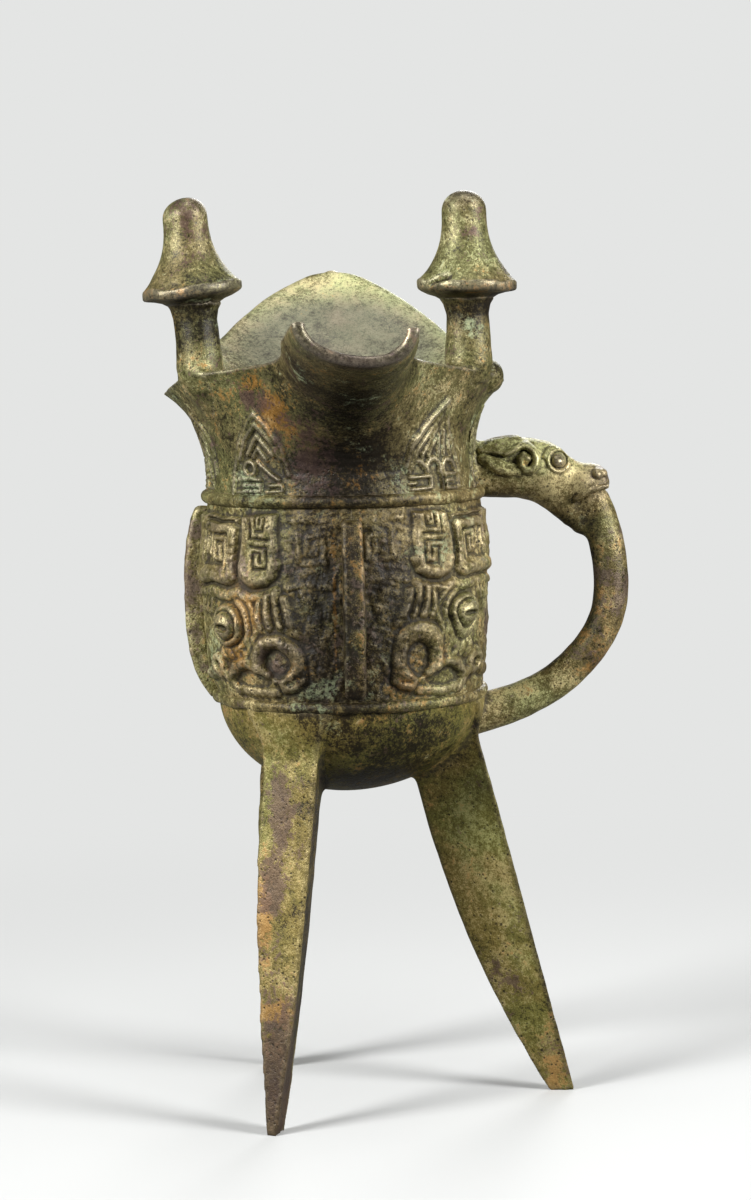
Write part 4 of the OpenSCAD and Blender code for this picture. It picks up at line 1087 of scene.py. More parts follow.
def mouth_sheet():
    """The outer and the inner face of the sheet, joined by a round rim above and a foot below."""
    points, faces, loops = [], [], []
    start = 0
    for inset, flip in ((0, False), (1, True)):
        sides = [side_wall(left, inset), side_wall(right, inset)]
        patches = [channel(inset, True), *sides, channel(inset, False)]
        loops.append(edge_loop(patches, inset))
        for patch, turned_round in zip(patches + [collar_ring(inset)], (False, False, True, True, True)):
            points.append(patch.reshape(-1, 3))
            faces.append(grid_faces(patch, start, flip != turned_round))
            start += len(points[-1])
    # The rim's strip bulges between its outer and inner edge
    (outer, leave_out), (inner, leave_in) = loops
    away = leave_out + leave_in
    away /= np.linalg.norm(away, axis=1, keepdims=True)
    for _ in range(6):
        away = (np.roll(away, 1, 0) + 2 * away + np.roll(away, -1, 0)) / 4
    across = np.linspace(0, 1, 9)
    strip = [lerp(outer, inner, w) + away * rim_bulge * (1 - abs(2 * w - 1) ** 2.6) for w in across]
    count = len(outer)
    index = start + np.arange(len(across) * count).reshape(len(across), count)
    after = np.roll(index, -1, 1)
    faces.append(np.stack([index[:-1], after[:-1], after[1:], index[1:]], -1).reshape(-1, 4))
    points.append(np.concatenate(strip))
    start += index.size
    # The foot, hidden behind the border
    rings = [collar_ring(0)[0], collar_ring(1)[0]]
    n = len(rings[0])
    foot = start + np.arange(2 * n).reshape(2, n)
    faces.append(np.stack([foot[0, :-1], foot[0, 1:], foot[1, 1:], foot[1, :-1]], -1))
    points += rings
    piece = from_faces("mouth_sheet", np.concatenate(points), np.concatenate(faces))
    clean(piece, 0.01)
    return piece


mouth = mouth_sheet()
print("mouth sheet:", len(mouth.data.polygons), "faces")

# %% [markdown]
# ## Blades on the neck
# Pointed blades stand round the neck with their points up. Each has an outline of raised bands,
# chevrons that repeat its point, and small curls and squared lines at its base. They are drawn like
# the masks: w runs sideways from the blade's middle, v upwards from the border.

# %% The drawing of a blade
BLADE = [
    ([(-7.4, 0.5), (-7.2, 6.0), (-5.6, 12.4), (-2.6, 16.6), (0.0, 20.0), (3.4, 16.6), (6.6, 11.4),
        (7.8, 5.0)], 1.2, 0.6),
    ([(-5.4, 9.0), (-3.6, 13.6), (0.2, 17.6), (4.4, 13.2), (6.2, 9.0)], 1.2, 0.75),
    ([(-3.0, 10.0), (0.4, 14.8), (4.4, 10.2)], 1.1, 0.7),
    ([(-1.4, 9.4), (0.4, 11.8), (2.6, 9.0)], 0.9, 0.6), ([(0.0, 8.6), (2.4, 6.6), (5.6, 4.0)], 1.0, 0.7),
    ([(-5.6, 4.2), (0.6, 4.1)], 0.9, 0.65), ([(-6.0, 1.2), (0.8, 1.3), (0.8, 2.7), (-4.4, 2.7)], 0.9, 0.6),
    ([(2.4, 1.2), (6.6, 1.4), (6.2, 2.8), (3.2, 2.8)], 0.8, 0.5),
    (arc_path(-2.4, 6.6, 1.6, -150, 190), 1.0, 0.8),
]
# The blade under the right post leans, and its sides fan out from the point
FAN_BLADE = [
    ([(2.5, 20.4), (-2.0, 16.6), (-7.4, 11.4), (-8.8, 6.4)], 1.5, 0.85),
    ([(1.2, 17.4), (-3.0, 12.8), (-6.2, 9.6), (-7.6, 5.8)], 1.2, 0.75),
    ([(0.2, 14.6), (-2.4, 11.0), (-4.6, 8.6)], 1.1, 0.7),
    ([(0.2, 12.2), (-1.6, 10.2), (-2.8, 8.2)], 0.9, 0.65), ([(1.4, 13.0), (0.8, 8.4)], 0.8, 0.5),
    ([(3.2, 13.8), (3.0, 8.6)], 0.8, 0.45), ([(5.0, 12.6), (5.4, 8.4)], 0.7, 0.4),
    ([(2.5, 20.4), (4.6, 15.4), (7.6, 8.0), (8.8, 1.0)], 0.9, 0.4),
    (arc_path(-6.2, 5.2, 2.1, 190, 20), 1.1, 0.75), (arc_path(-1.2, 5.4, 2.2, 200, -20), 1.1, 0.8),
    (arc_path(4.2, 5.6, 2.1, 230, 10), 1.0, 0.7), ([(6.4, 5.8), (7.6, 3.6), (7.7, 1.0)], 0.9, 0.55),
    ([(-8.0, 3.5), (-2.4, 3.5)], 0.8, 0.65), ([(-8.2, 2.0), (-6.6, 2.2)], 0.7, 0.5),
    ([(-8.0, 0.8), (-2.4, 0.9), (-2.4, 3.4)], 0.8, 0.65), ([(1.4, 0.8), (1.3, 4.3), (6.6, 4.4)], 0.8, 0.65),
    ([(6.6, 0.9), (2.8, 1.0), (2.9, 2.8), (5.2, 2.8)], 0.8, 0.65),
]


def blade_relief(w, v, drawing):
    """Raised lines of one blade. w runs sideways from the middle of its foot, v upwards."""
    h = np.zeros(w.shape)
    for path, width, height in drawing:
        h = np.maximum(h, rounded_band(run_distance(w, v, path), 1.05 * width) * height)
    ground = band_of(run_distance(w, v, [(0.0, 2.0), (0.0, 12.0)]), 10.0, 4.0)
    return h - 0.2 * ground * (h < 0.05)


# %% Push the blades out of the sheet
BLADES = [
    (231.0, BLADE), (311.5, FAN_BLADE), (188.0, BLADE), (355.0, BLADE), (128.0, BLADE), (90.0, BLADE),
    (52.0, BLADE),
]
neck_in, neck_z, neck_reach = 1.5, 159, 7.5


def drawn_in(z):
    """How far the neck over the animal's head is drawn in, in millimetres, at a height."""
    return neck_in * np.exp(-((z - neck_z) / neck_reach) ** 2)


def dress_mouth():
    p = co_of(mouth)
    n = normals_of(mouth)
    angle = np.degrees(np.arctan2(p[:, 1], p[:, 0])) % 360
    outward = (p[:, 0] * n[:, 0] + p[:, 1] * n[:, 1]) > 0.2
    v = p[:, 2] - (upper_z + 1.4)
    push = 0.14 * ripple(p[:, 0], p[:, 1], p[:, 2], 16, 31) + 0.05 * ripple(p[:, 0], p[:, 1], p[:, 2], 4, 32)
    near_foot = np.clip((v + 0.5) / 2.0, 0, 1)
    push *= near_foot
    for middle, drawing in BLADES:
        w = ((angle - middle + 180) % 360 - 180) * math.pi / 180 * cup_r
        close = outward & (np.abs(w) < 12) & (v > -1) & (v < 22)
        wander = 0.3 * ripple(w[close], v[close], 0 * v[close] + middle, 8, 40)
        tall = 1.08 if drawing is BLADE else 1.0
        push[close] += blade_relief(w[close] + wander, v[close] * tall + wander, drawing)
    # Fine hoops under the spout, where the clay core was smoothed round and round
    under = outward & (p[:, 1] < -collar_r + 3) & (p[:, 2] < joint_z + 34)
    along = p[:, 1] * 0.75 - p[:, 2] * 0.85
    drift = 1.8 * ripple(p[:, 0], p[:, 1], p[:, 2], 14, 33)
    push += np.where(under, 0.035 * np.sin(along * 2.9 + drift), 0) * near_foot
    # The rim's right end is thick and smooth
    thick_end = ((p[:, 0] - 37.5) / 5) ** 2 + ((p[:, 1] - 2) / 11) ** 2 + ((p[:, 2] - joint_z - 19) / 4) ** 2
    push += 0.9 * np.exp(-thick_end)
    p = p + n * push[:, None]
    # The neck is drawn in a little above the head
    p[:, 0] -= drawn_in(p[:, 2]) * np.clip((p[:, 0] - 12) / 18, 0, 1)
    # The lip is rounded inside the length of the spout, not beyond it
    p[:, 1] += 0.85 * np.clip((-p[:, 1] - spout_reach + 12) / 12, 0, 1)
    set_co(mouth, p)


dress_mouth()
hand_over(mouth, ["spout", "tail", "left_mouth_wall", "right_mouth_wall"], MOUTH, reach=1.6)

# %% [markdown]
# ## Pieces made from a field
# The posts, the legs and the animal head were modelled in clay, so they flow into the cup with
# soft hollows that no extrude or bevel gives. They are described as a field: a number for each
# point of space that is negative inside the piece. Fields can be added with a soft seam, like two
# lumps of clay pressed together, and cut away in the same manner. A net of points is then laid
# where the field is zero.

# %% A net over a field
# Steps of the nets in millimetres, finer where the forms are small
COARSE_NET, MIDDLE_NET, FINE_NET = 0.42, 0.36, 0.25


def blended(a, b, reach):
    """Both shapes as one, with a soft hollow of about reach millimetres where they meet."""
    h = np.clip(0.5 + 0.5 * (b - a) / reach, 0, 1)
    return lerp(b, a, h) - reach * h * (1 - h)


def cut_away(a, b, reach):
    """a without b, with a rounded edge."""
    return -blended(-a, b, reach)


def net_over(name, field, low, high, step):
    """A closed mesh where a field of x, y and z is zero, in a box of millimetres."""
    axes = [np.arange(lo, hi + step, step) for lo, hi in zip(low, high)]
    d = field(*np.meshgrid(*axes, indexing="ij"))
    inside = d < 0
    shape = tuple(s - 1 for s in d.shape)
    total = np.zeros(shape + (3,))
    hits = np.zeros(shape)

    def corner(values, i, j, k):
        return values[i:i + shape[0], j:j + shape[1], k:k + shape[2]]

    for axis in range(3):
        others = [k for k in range(3) if k != axis]
        for first in (0, 1):
            for second in (0, 1):
                start = [0, 0, 0]
                start[others[0]], start[others[1]] = first, second
                end = list(start)
                end[axis] = 1
                d0, d1 = corner(d, *start), corner(d, *end)
                crosses = (d0 < 0) != (d1 < 0)
                t = np.where(crosses, d0 / np.where(crosses, d0 - d1, 1), 0)
                for k in range(3):
                    total[..., k] += np.where(crosses, start[k] + (t if k == axis else 0), 0)
                hits += crosses
    mixed = hits > 0
    index = np.full(shape, -1)
    index[mixed] = np.arange(mixed.sum())
    cells = np.argwhere(mixed)
    points = (cells + total[mixed] / hits[mixed][:, None]) * step + np.array([axis[0] for axis in axes])
    faces = []
    for axis in range(3):
        b, c = [(1, 2), (2, 0), (0, 1)][axis]
        one = [slice(1, -1)] * 3
        one[axis] = slice(0, -1)
        two = list(one)
        two[axis] = slice(1, None)
        first, second = inside[tuple(one)], inside[tuple(two)]
        at_edge = np.argwhere(first != second)
        at_edge += np.array([0 if k == axis else 1 for k in range(3)])
        going_out = inside[tuple(at_edge.T)]
        quad = []
        for db, dc in ((-1, -1), (0, -1), (0, 0), (-1, 0)):
            cell = at_edge.copy()
            cell[:, b] += db
            cell[:, c] += dc
            quad.append(index[tuple(cell.T)])
        quad = np.stack(quad, -1)
        quad[~going_out] = quad[~going_out][:, ::-1]
        faces.append(quad)
    piece = from_faces(name, points, np.concatenate(faces))
    clean(piece, 0.0005)
    return piece


# %% [markdown]
# ## Posts and caps
# A round post stands on the rim on each side of the spout, flared a little at its foot where wax or
# clay was smoothed into the rim. A field makes the shaft and its foot in one, because the foot
# runs out over both faces of the wall. The cap is like a tall mushroom: a flat underside, a thick
# rough brim and a sweep up to a rubbed knob. It is turned, then leaned as the real one leans.

# %% The posts and their feet
post_x, post_h = 30.6, 16.3
POST_LEAN = {left: 4.5, right: 1.0}
post_foot_r, post_top_r = 5.4, 5.0
LUMP_AT, LUMP_R = (34.3, -4, 170.2), (3.3, 5.5, 3.9)


def leaned(piece, side):
    """Leans a piece to the left about the foot of its post."""
    foot = at(side * post_x - mouth_lean, -post_y, joint_z + post_rim_rise)
    turn = Matrix.Rotation(math.radians(-POST_LEAN[side]), 4, "Y")
    piece.data.transform(Matrix.Translation(foot) @ turn @ Matrix.Translation(-foot))


def foot_field(side, wall_mesh):
    """The shaft as a leaning cone, pressed into the mouth's wall like soft clay."""
    faces = [tuple(f.vertices) for f in wall_mesh.data.polygons]
    tree = BVHTree.FromPolygons([tuple(c) for c in co_of(wall_mesh)], faces)
    foot = np.array([side * post_x - mouth_lean, -post_y, joint_z + post_rim_rise])
    lean = math.tan(math.radians(POST_LEAN[side]))

    def field(x, y, z):
        up = z - foot[2]
        r = np.hypot((x - foot[0] + lean * up) * math.cos(math.atan(lean)), y - foot[1])
        thick = np.interp(up, [-9, -3, 2, 9, post_h - 3, post_h - 0.6, post_h + 0.8],
            [1.5, 4.4, post_foot_r + 0.1, 5.1, post_top_r, post_top_r + 0.5, post_top_r + 1.4])
        inward = np.clip(-up / 9, 0, 1) ** 1.5 * 3.5
        toward = foot[:2] / np.linalg.norm(foot[:2])
        r = np.where(up < 0, np.hypot(x - foot[0] + toward[0] * inward, y - foot[1] + toward[1] * inward), r)
        shaft = (r - thick) * 0.98
        # The left foot runs out in the wall, the right one ends in a small ledge
        low_end = -9.5 if side == left else -2.2
        shaft = cut_away(shaft, up - low_end, 0.8) if side == right else np.maximum(shaft, low_end - up)
        shaft = np.maximum(shaft, up - post_h - 1.0)
        shaft = shaft + 0.13 * ripple(x, y, z, 11, 60 + side) + 0.06 * ripple(x, y, z, 3.5, 64 + side)
        if side == right:
            # Behind it the rim ends in a thick round lump
            lump = np.sqrt(sum(((c - m) / r) ** 2 for c, m, r in zip((x, y, z), LUMP_AT, LUMP_R)))
            shaft = blended(shaft, (lump - 1) * LUMP_R[0], 1.0)
        wall = np.full(x.shape, 9.0)
        near = (up < 6.5) & (shaft < 5)
        found = []
        for place in np.stack([x[near], y[near], z[near]], -1):
            spot, normal, _, distance = tree.find_nearest(place)
            found.append(distance if (Vector(place) - spot).dot(normal) > 0 else -distance)
        wall[near] = found
        joined = np.maximum(blended(shaft, wall + 0.06, 2.4 if side == left else 1.0), shaft - 3.2)
        return np.maximum(joined, -(wall + 0.5))
    return field


post_z = joint_z + post_rim_rise
for side, name in ((left, "left_post"), (right, "right_post")):
    x = side * post_x - mouth_lean
    low, high = (x - 9.5, -post_y - 8.5, post_z - 9.6), (x + 10.0, -post_y + 16.0, post_z + post_h + 3.4)
    piece = net_over(name + "_shaft", foot_field(side, mouth), low, high, COARSE_NET)
    hand_over(piece, [name], POST, reach=1.6)

# %% Turn the caps
cap_brim_r, cap_knob_r, cap_h = 11.5, 5.1, 25.1
cap_brim_z, cap_brim_t = 2.4, 2.6


def cap_outline(z0):
    knob_z = cap_h - cap_knob_r
    brim_z = z0 + cap_brim_z
    under = [(0.0, z0 + 0.1), (post_top_r, z0 + 0.1), (post_top_r + 1.0, z0 + 0.6),
        (post_top_r + 2.2, z0 + 1.3), (8.9, z0 + 1.8), (cap_brim_r - 1.0, brim_z - 0.1)]
    edge = [(cap_brim_r - 0.35, brim_z + 0.2), (cap_brim_r - 0.05, brim_z + 0.6), (cap_brim_r, brim_z + 1.3),
        (cap_brim_r, brim_z + 2.0), (cap_brim_r - 0.2, brim_z + 2.4)]
    sweep = [(lerp(cap_knob_r, cap_brim_r - 0.7, (1 - t) ** 2.5),
        z0 + lerp(cap_brim_z + cap_brim_t + 0.1, knob_z, t)) for t in np.linspace(0, 1, 24)]
    dome = [(cap_knob_r * math.cos(a), z0 + knob_z + cap_knob_r * math.sin(a) ** 0.85)
        for a in np.radians(np.linspace(6, 90, 14))]
    return under + edge + sweep + dome


def cap(side, name):
    x = side * post_x - mouth_lean
    z0 = post_z + post_h
    piece = turned(name, cap_outline(z0), 120, x, -post_y)
    p = co_of(piece)
    d = p - np.array([x, -post_y, z0])
    r = np.hypot(d[:, 0], d[:, 1])
    # The brim was never trimmed true, and one cap's knob sags a little to the left
    brim = np.clip((r - 8.5) / 2.5, 0, 1)
    flat = (p[:, 0], p[:, 1], p[:, 2] * 0.4)
    rough = ripple(*flat, 5, 70 + side) * 0.35 + ripple(*flat, 1.9, 75) * 0.12
    p[:, :2] += d[:, :2] / np.maximum(r, 1)[:, None] * (np.minimum(rough - 0.15, 0.0) * brim)[:, None]
    tipped = -0.5 * side * d[:, 0] / cap_brim_r
    p[:, 2] += brim * (tipped + 0.3 * ripple(p[:, 0], p[:, 1], 0, 8, 80 + side))
    if side == left:
        high = np.clip((d[:, 2] - 17) / 8, 0, 1)
        p[:, 2] -= 0.9 * high * (0.5 - d[:, 0] / 10)
    else:
        # A casting fault: a short tear in the brim, to the left of its front
        from_tear = np.degrees(np.arctan2(d[:, 1], d[:, 0])) + 128
        length = np.clip(1 - np.abs(from_tear) / 17, 0, 1)
        width = np.clip(1 - np.abs(d[:, 2] - 4.7 - 0.05 * from_tear) / 0.9, 0, 1)
        depth = 2.2 * (length > 0) * length ** 0.5 * width * (r > 7)
        p -= d / np.maximum(np.linalg.norm(d, axis=1), 1)[:, None] * depth[:, None]
    set_co(piece, p)
    leaned(piece, side)
    return piece


for side, name in ((left, "left_post_cap"), (right, "right_post_cap")):
    hand_over(cap(side, name + "_cast"), [name], POST, reach=1.8)

# %% [markdown]
# ## The flanges
# A flange is the fin where two mould sections met, kept and squared up as an ornament. The packed
# plates already follow the wall, so each is copied, merged and given worn edges with a bevel. A
# finer net is then laid over it, so that it can carry the unevenness of a cast surface.

# %% Round the flanges' edges
for name in ("front_flange", "back_flange", "left_flange"):
    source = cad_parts[name]
    piece = source.copy()
    piece.data = source.data.copy()
    piece.name = piece.data.name = name + "_worn"
    for key in [k for k in piece.keys() if k.startswith("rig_")]:
        del piece[key]
    piece.parent = None
    bpy.context.scene.collection.objects.link(piece)
    clean(piece, 0.01)
    bpy.ops.object.mode_set(mode="EDIT")
    bpy.ops.mesh.select_all(action="SELECT")
    bpy.ops.mesh.dissolve_limited(angle_limit=math.radians(1))
    bpy.ops.object.mode_set(mode="OBJECT")
    rounding = piece.modifiers.new("worn edges", "BEVEL")
    rounding.width = 1.0 * MM
    rounding.segments = 4
    rounding.angle_limit = math.radians(40)
    bpy.ops.object.modifier_apply(modifier=rounding.name)
    finer = piece.modifiers.new("finer", "REMESH")
    finer.mode = "VOXEL"
    finer.voxel_size = 0.36 * MM
    bpy.ops.object.modifier_apply(modifier=finer.name)
    p = co_of(piece)
    low, high = p[:, 2].min(), p[:, 2].max()
    if name == "front_flange":
        # It stops short of the upper border
        p[:, 2] = low + (p[:, 2] - low) * (1 - 1.6 / (high - low))
    if name == "left_flange":
        # Its lower end runs slanting into the border
        down = np.clip(1 - (p[:, 2] - low) / 9.0, 0, 1)
        p[:, 2] -= 2.6 * down
        p[:, 0] += down ** 1.5 * 2.4 * np.clip((-p[:, 0] - cup_r - 1.5) / 4, 0, 1)
    set_co(piece, p)
    unevened(piece, 7, 0.16, 90)
    unevened(piece, 2.5, 0.05, 91)
    hand_over(piece, [name], FLANGE, reach=1.6)

# %% [markdown]
# ## The bowl as a field
# The legs and the handle flow into the cup, so their fields need the cup as a field too: a round
# bottom below the lower border, and an upright wall above it.

# %% The bowl's field
# What joins the bowl blends with it a little below its surface, and ends further inside
SEAM_UNDER, SUNK = 0.25, 0.7


def bowl_field(x, y, z):
    """The round bottom below the lower border, and an upright wall above it."""
    r = np.hypot(x, y)
    down = np.minimum(z - lower_z, 0)
    length = np.sqrt((r / cup_r) ** 2 + (down / bottom_h) ** 2)
    slope = np.sqrt((r / cup_r ** 2) ** 2 + (down / bottom_h ** 2) ** 2)
    return (length - 1) * length / np.maximum(slope, 1e-6)


# %% [markdown]
# ## The legs
# Each leg is a blade: a flat outer face, two long sides that close to a blunt inner edge, and a
# taper that quickens towards the tip. At the top it spreads into the round bottom with a hollow
# of some millimetres, and the outer face runs up to the lower border.

# %% A leg's field
leg_angle, leg_root_r, leg_top_z = 119.0, 29.4, 89.1
handle_leg_spread, left_leg_spread = 52.2, 40.0
leg_w, leg_d, tip_w, tip_d, leg_edge = 15.0, 17.0, 2.4, 6.0, 1.4
tongue_z = 84.0


def leg_field(spread, swell, drift, seed):
    """A leg that points along x. swell makes it deeper or shallower, drift moves its foot sideways."""
    def field(x, y, z):
        t = np.clip(z / leg_top_z, 0, 1.1)
        full = 1 - np.clip(1 - t, 0, 1) ** 1.9
        out = lerp(spread, leg_root_r, t)
        w = lerp(tip_w, leg_w, full)
        d = lerp(tip_d, leg_d, 1 - np.clip(1 - t, 0, 1) ** 2.4)
        d = d + swell * np.sin(np.pi * np.clip(t / 0.9, 0, 1))
        y = y - drift * np.clip(1 - t, 0, 1) ** 0.8
        edge = leg_edge * (0.5 + 0.5 * full)
        lean = (w - edge) / 2 / d
        side = ((np.abs(y) - w / 2) + lean * (out - x)) / np.sqrt(1 + lean * lean)
        outer = x - out
        # Soft corners along the outer face and along the blunt inner edge
        round_r = 0.55 * (0.35 + 0.65 * full)
        body = -blended(-side, -outer, round_r)
        body = -blended(-body, -(out - d - x), 0.5)
        body = np.maximum(body, -z)
        body = body + 0.12 * ripple(x, y, z, 16, seed) + 0.07 * ripple(x, y, z, 5, seed + 1)
        cup = bowl_field(x, y, z)
        joined = blended(body, cup + SEAM_UNDER, 3.2)
        # The face spreads as it runs up to the border
        half_w = 4.5 + 6.5 * np.clip((z - tongue_z) / 11, 0, 1) ** 1.5
        tongue = np.maximum(cup - 0.55, np.abs(y) - half_w)
        tongue = np.maximum(np.maximum(tongue, tongue_z - z), 20 - x)
        joined = blended(joined, tongue, 2.5)
        joined = np.maximum(joined, np.maximum(z - (lower_z - 0.4), body - 8.5))
        return np.maximum(joined, -(cup + SUNK))
    return field


LEGS = [
    ("handle_leg", 0.0, handle_leg_spread, 1.1, 0.0),
    ("front_left_leg", -leg_angle, left_leg_spread, -1.6, -1.1),
    ("back_left_leg", leg_angle, left_leg_spread, -1.6, 0.6),
]
for k, (name, angle, spread, swell, drift) in enumerate(LEGS):
    field = leg_field(spread, swell, drift, 100 + 3 * k)
    piece = net_over(name + "_cast", field, (12, -18, -1.2), (spread + 3, 18, 98), COARSE_NET)
    p = co_of(piece)
    # Painted shade: the handle leg is darkened on its outer face, and the left legs on one side
    inward = lerp(spread, leg_root_r, np.clip(p[:, 2] / leg_top_z, 0, 1)) - p[:, 0]
    if name == "handle_leg":
        painted_leg_shade = np.exp(-(inward / 1.2) ** 2)
    else:
        painted_leg_shade = np.clip((inward - 0.8) / 1.5, 0, 1) * (p[:, 1] > 0)
    painted_leg_shade = 0.95 * painted_leg_shade * np.clip((96 - p[:, 2]) / 6, 0, 1) * np.clip(p[:, 2] / 12, 0.3, 1)
    a = math.radians(angle)
    x = p[:, 0] * math.cos(a) - p[:, 1] * math.sin(a)
    y = p[:, 0] * math.sin(a) + p[:, 1] * math.cos(a)
    set_co(piece, np.stack([x, y, np.maximum(p[:, 2], 0)], 1))
    hand_over(piece, [name], LEG, reach=2.2)
    stain = piece.data.attributes["dark_stain_and_painted_shade"].data
    dark = np.empty(len(stain), np.float32)
    stain.foreach_get("value", dark)
    stain.foreach_set("value", np.maximum(dark, painted_leg_shade).astype(np.float32))

# %% [markdown]
# ## The handle
# A round bar runs from the bottom of the cup out and up in a bow, and an animal bites its upper
# end. The bar is thickest in the animal's throat and at its foot, where it flows into the bowl.

# %% The bar's field
# Places along the bar as x, z and radius, from the bowl to the animal's mouth
BAR = np.array([
    (27.0, 90.2, 5.0), (34.8, 91.7, 4.5), (42.9, 94.5, 4.25), (48.5, 97.6, 4.1), (52.4, 100.7, 4.0),
    (57.0, 105.2, 4.0), (60.7, 111.0, 4.05), (62.3, 116.5, 4.05), (62.6, 122.0, 4.05), (62.2, 127.0, 4.1),
    (61.3, 131.6, 4.1), (60.2, 136.0, 4.05), (58.7, 140.3, 3.9), (57.4, 143.0, 3.6),
])
bar_path = np.array([smooth_through(BAR, s) for s in np.linspace(0, len(BAR) - 2.001, 52)])
for _ in range(12):
    bar_path[1:-1] = (bar_path[:-2] + 2 * bar_path[1:-1] + bar_path[2:]) / 4


def rod(x, y, z, path):
    """Distance to a bent rod whose points are x, z and radius."""
    best = np.full(x.shape, 1e9)
    for (x0, z0, r0), (x1, z1, r1) in zip(path[:-1], path[1:]):
        dx, dz = x1 - x0, z1 - z0
        t = np.clip(((x - x0) * dx + (z - z0) * dz) / (dx * dx + dz * dz), 0, 1)
        away = np.sqrt((x - x0 - t * dx) ** 2 + y * y + (z - z0 - t * dz) ** 2)
        best = np.minimum(best, away - lerp(r0, r1, t))
    return best


THROAT = [
    (45.5, 145.2, 4.2), (48.6, 142.6, 3.9), (51.2, 139.9, 3.3), (53.3, 137.2, 2.6), (54.9, 134.9, 1.7),
]


def bar_field(x, y, z):
    """The bar and the throat it leaves are one lump of metal under the lip."""
    bar = blended(rod(x, y, z, bar_path), rod(x, y, z, THROAT), 4.0)
    bar = bar + 0.1 * ripple(x, y, z, 13, 130) + 0.05 * ripple(x, y, z, 4, 131)
    cup = bowl_field(x, y, z)
    joined = blended(bar, np.maximum(cup + SEAM_UNDER, z - lower_z - 1.0), 2.4)
    return np.maximum(joined, -(cup + SUNK))


bar = net_over("handle_bar_cast", bar_field, (26, -7, 82), (67.6, 7, 148), MIDDLE_NET)
hand_over(bar, ["handle_bar"], HANDLE, reach=1.8)

# %% [markdown]
# ## The animal head
# The head grows out of the collar: a thick neck, a leaf-shaped ear that ends in a curl, a round
# eye in a ring, a snout with a raised nose, and an upper lip that closes over the bar. The body is
# a row of rounded sections along the head. The rest is drawn in side view, as strokes like those
# of the masks, and pushes the body's field out or in.

# %% The head's field
# Along the head: place, top, bottom and half width
HEAD_ROWS = np.array([
    (27.0, 155.0, 142.0, 6.4), (33.0, 155.1, 142.0, 6.7), (36.0, 155.6, 141.9, 6.9),
    (40.3, 155.9, 141.7, 7.0), (44.7, 155.4, 141.2, 7.0), (48.3, 154.6, 140.2, 6.7),
    (50.9, 153.1, 139.9, 6.2), (52.7, 151.3, 140.1, 5.8), (54.4, 150.1, 140.6, 5.5),
    (56.1, 149.4, 141.5, 5.3), (58.7, 149.3, 142.5, 5.0), (60.2, 148.8, 142.8, 4.5),
    (61.2, 148.0, 143.1, 3.9), (61.8, 147.0, 143.5, 3.1), (62.2, 145.6, 144.2, 1.2),
])
EAR_CURL = [
    (37.6, 152.3), (39.2, 153.1), (41.0, 154.2), (42.6, 154.1), (44.0, 152.9), (44.7, 151.2), (44.5, 149.6),
    (43.4, 148.4), (42.0, 148.5), (41.1, 149.6), (41.0, 151.0), (41.8, 151.7), (42.6, 151.2),
]


EYE_AT = (50.0, 150.5)
EAR_FLAP = [(31.5, 153.2), (34.0, 155.4), (38.0, 156.6), (42.0, 156.6), (41.6, 154.4), (39.0, 153.2),
    (36.4, 152.4)]
EAR_LOBE = [(31.8, 152.6), (34.6, 152.0), (38.0, 150.6), (41.2, 149.6), (40.8, 147.9), (38.0, 147.1),
    (35.4, 148.0), (33.2, 149.9)]
EAR_HOLLOW = [(33.6, 152.3), (37.6, 151.8), (40.2, 152.2), (40.0, 150.3), (37.4, 150.3)]
UNDER_EAR = [(32.6, 150.2), (34.6, 147.9), (37.8, 146.5), (41.4, 147.0)]
# Raised strokes with their width and height: the ear's rims and curl, the brow and the upper lip
HEAD_STROKES = [
    ([(32.0, 153.2), (35.0, 152.9), (37.4, 152.6), (39.4, 153.6)], 1.5, 1.35),
    ([(32.4, 151.4), (34.8, 149.3), (38.0, 148.1), (40.4, 148.4)], 2.2, 1.15),
    (EAR_CURL, 1.7, 1.7),
    (arc_path(50.0, 150.4, 3.4, -10, 165), 0.9, 0.6),
    ([(54.2, 141.3), (57.2, 143.2), (60.0, 143.7), (62.2, 144.0)], 1.5, 0.85),
]
# Domes with their radius and height: the eyeball, the curl's middle and the nose
HEAD_DOMES = [
    (EYE_AT, 1.75, 1.5), ((41.9, 150.7), 1.2, 1.5), ((59.2, 147.2), 1.35, 1.1), ((61.0, 147.5), 1.2, 0.9),
]


def head_relief(u, v):
    """Side-view strokes: u along the head, v the height."""
    def from_place(place):
        return np.hypot(u - place[0], v - place[1])

    h = np.zeros(u.shape)
    for path, width, height in HEAD_STROKES:
        h = np.maximum(h, rounded_band(run_distance(u, v, path), width) * height)
    for shape, height in (
        (inside_of(u, v, EAR_FLAP, 1.0), 1.0),
        (inside_of(u, v, EAR_LOBE, 0.9), 0.9),
        # The ring round the eye, the corner of the mouth and the cheek
        (rounded_band(np.abs(from_place(EYE_AT) - 2.55), 0.95), 0.75),
        (np.clip(1 - from_place((56.2, 144.8)) / 3.4, 0, 1) ** 0.7, 0.75),
        (np.clip(1 - from_place((46.6, 147.4)) / 4.0, 0, 1), 0.5),
    ):
        h = np.maximum(h, shape * height)
    h = h - inside_of(u, v, EAR_HOLLOW, 0.9) * 0.9
    h = h - band_of(run_distance(u, v, UNDER_EAR), 0.5, 0.8) * 0.45
    h = h - band_of(np.abs(from_place(EYE_AT) - 1.85), 0.3, 0.5) * 0.45
    for place, r, height in HEAD_DOMES:
        h = np.maximum(h, np.sqrt(np.clip(1 - from_place(place) ** 2 / r ** 2, 0, 1)) * height)
    return h


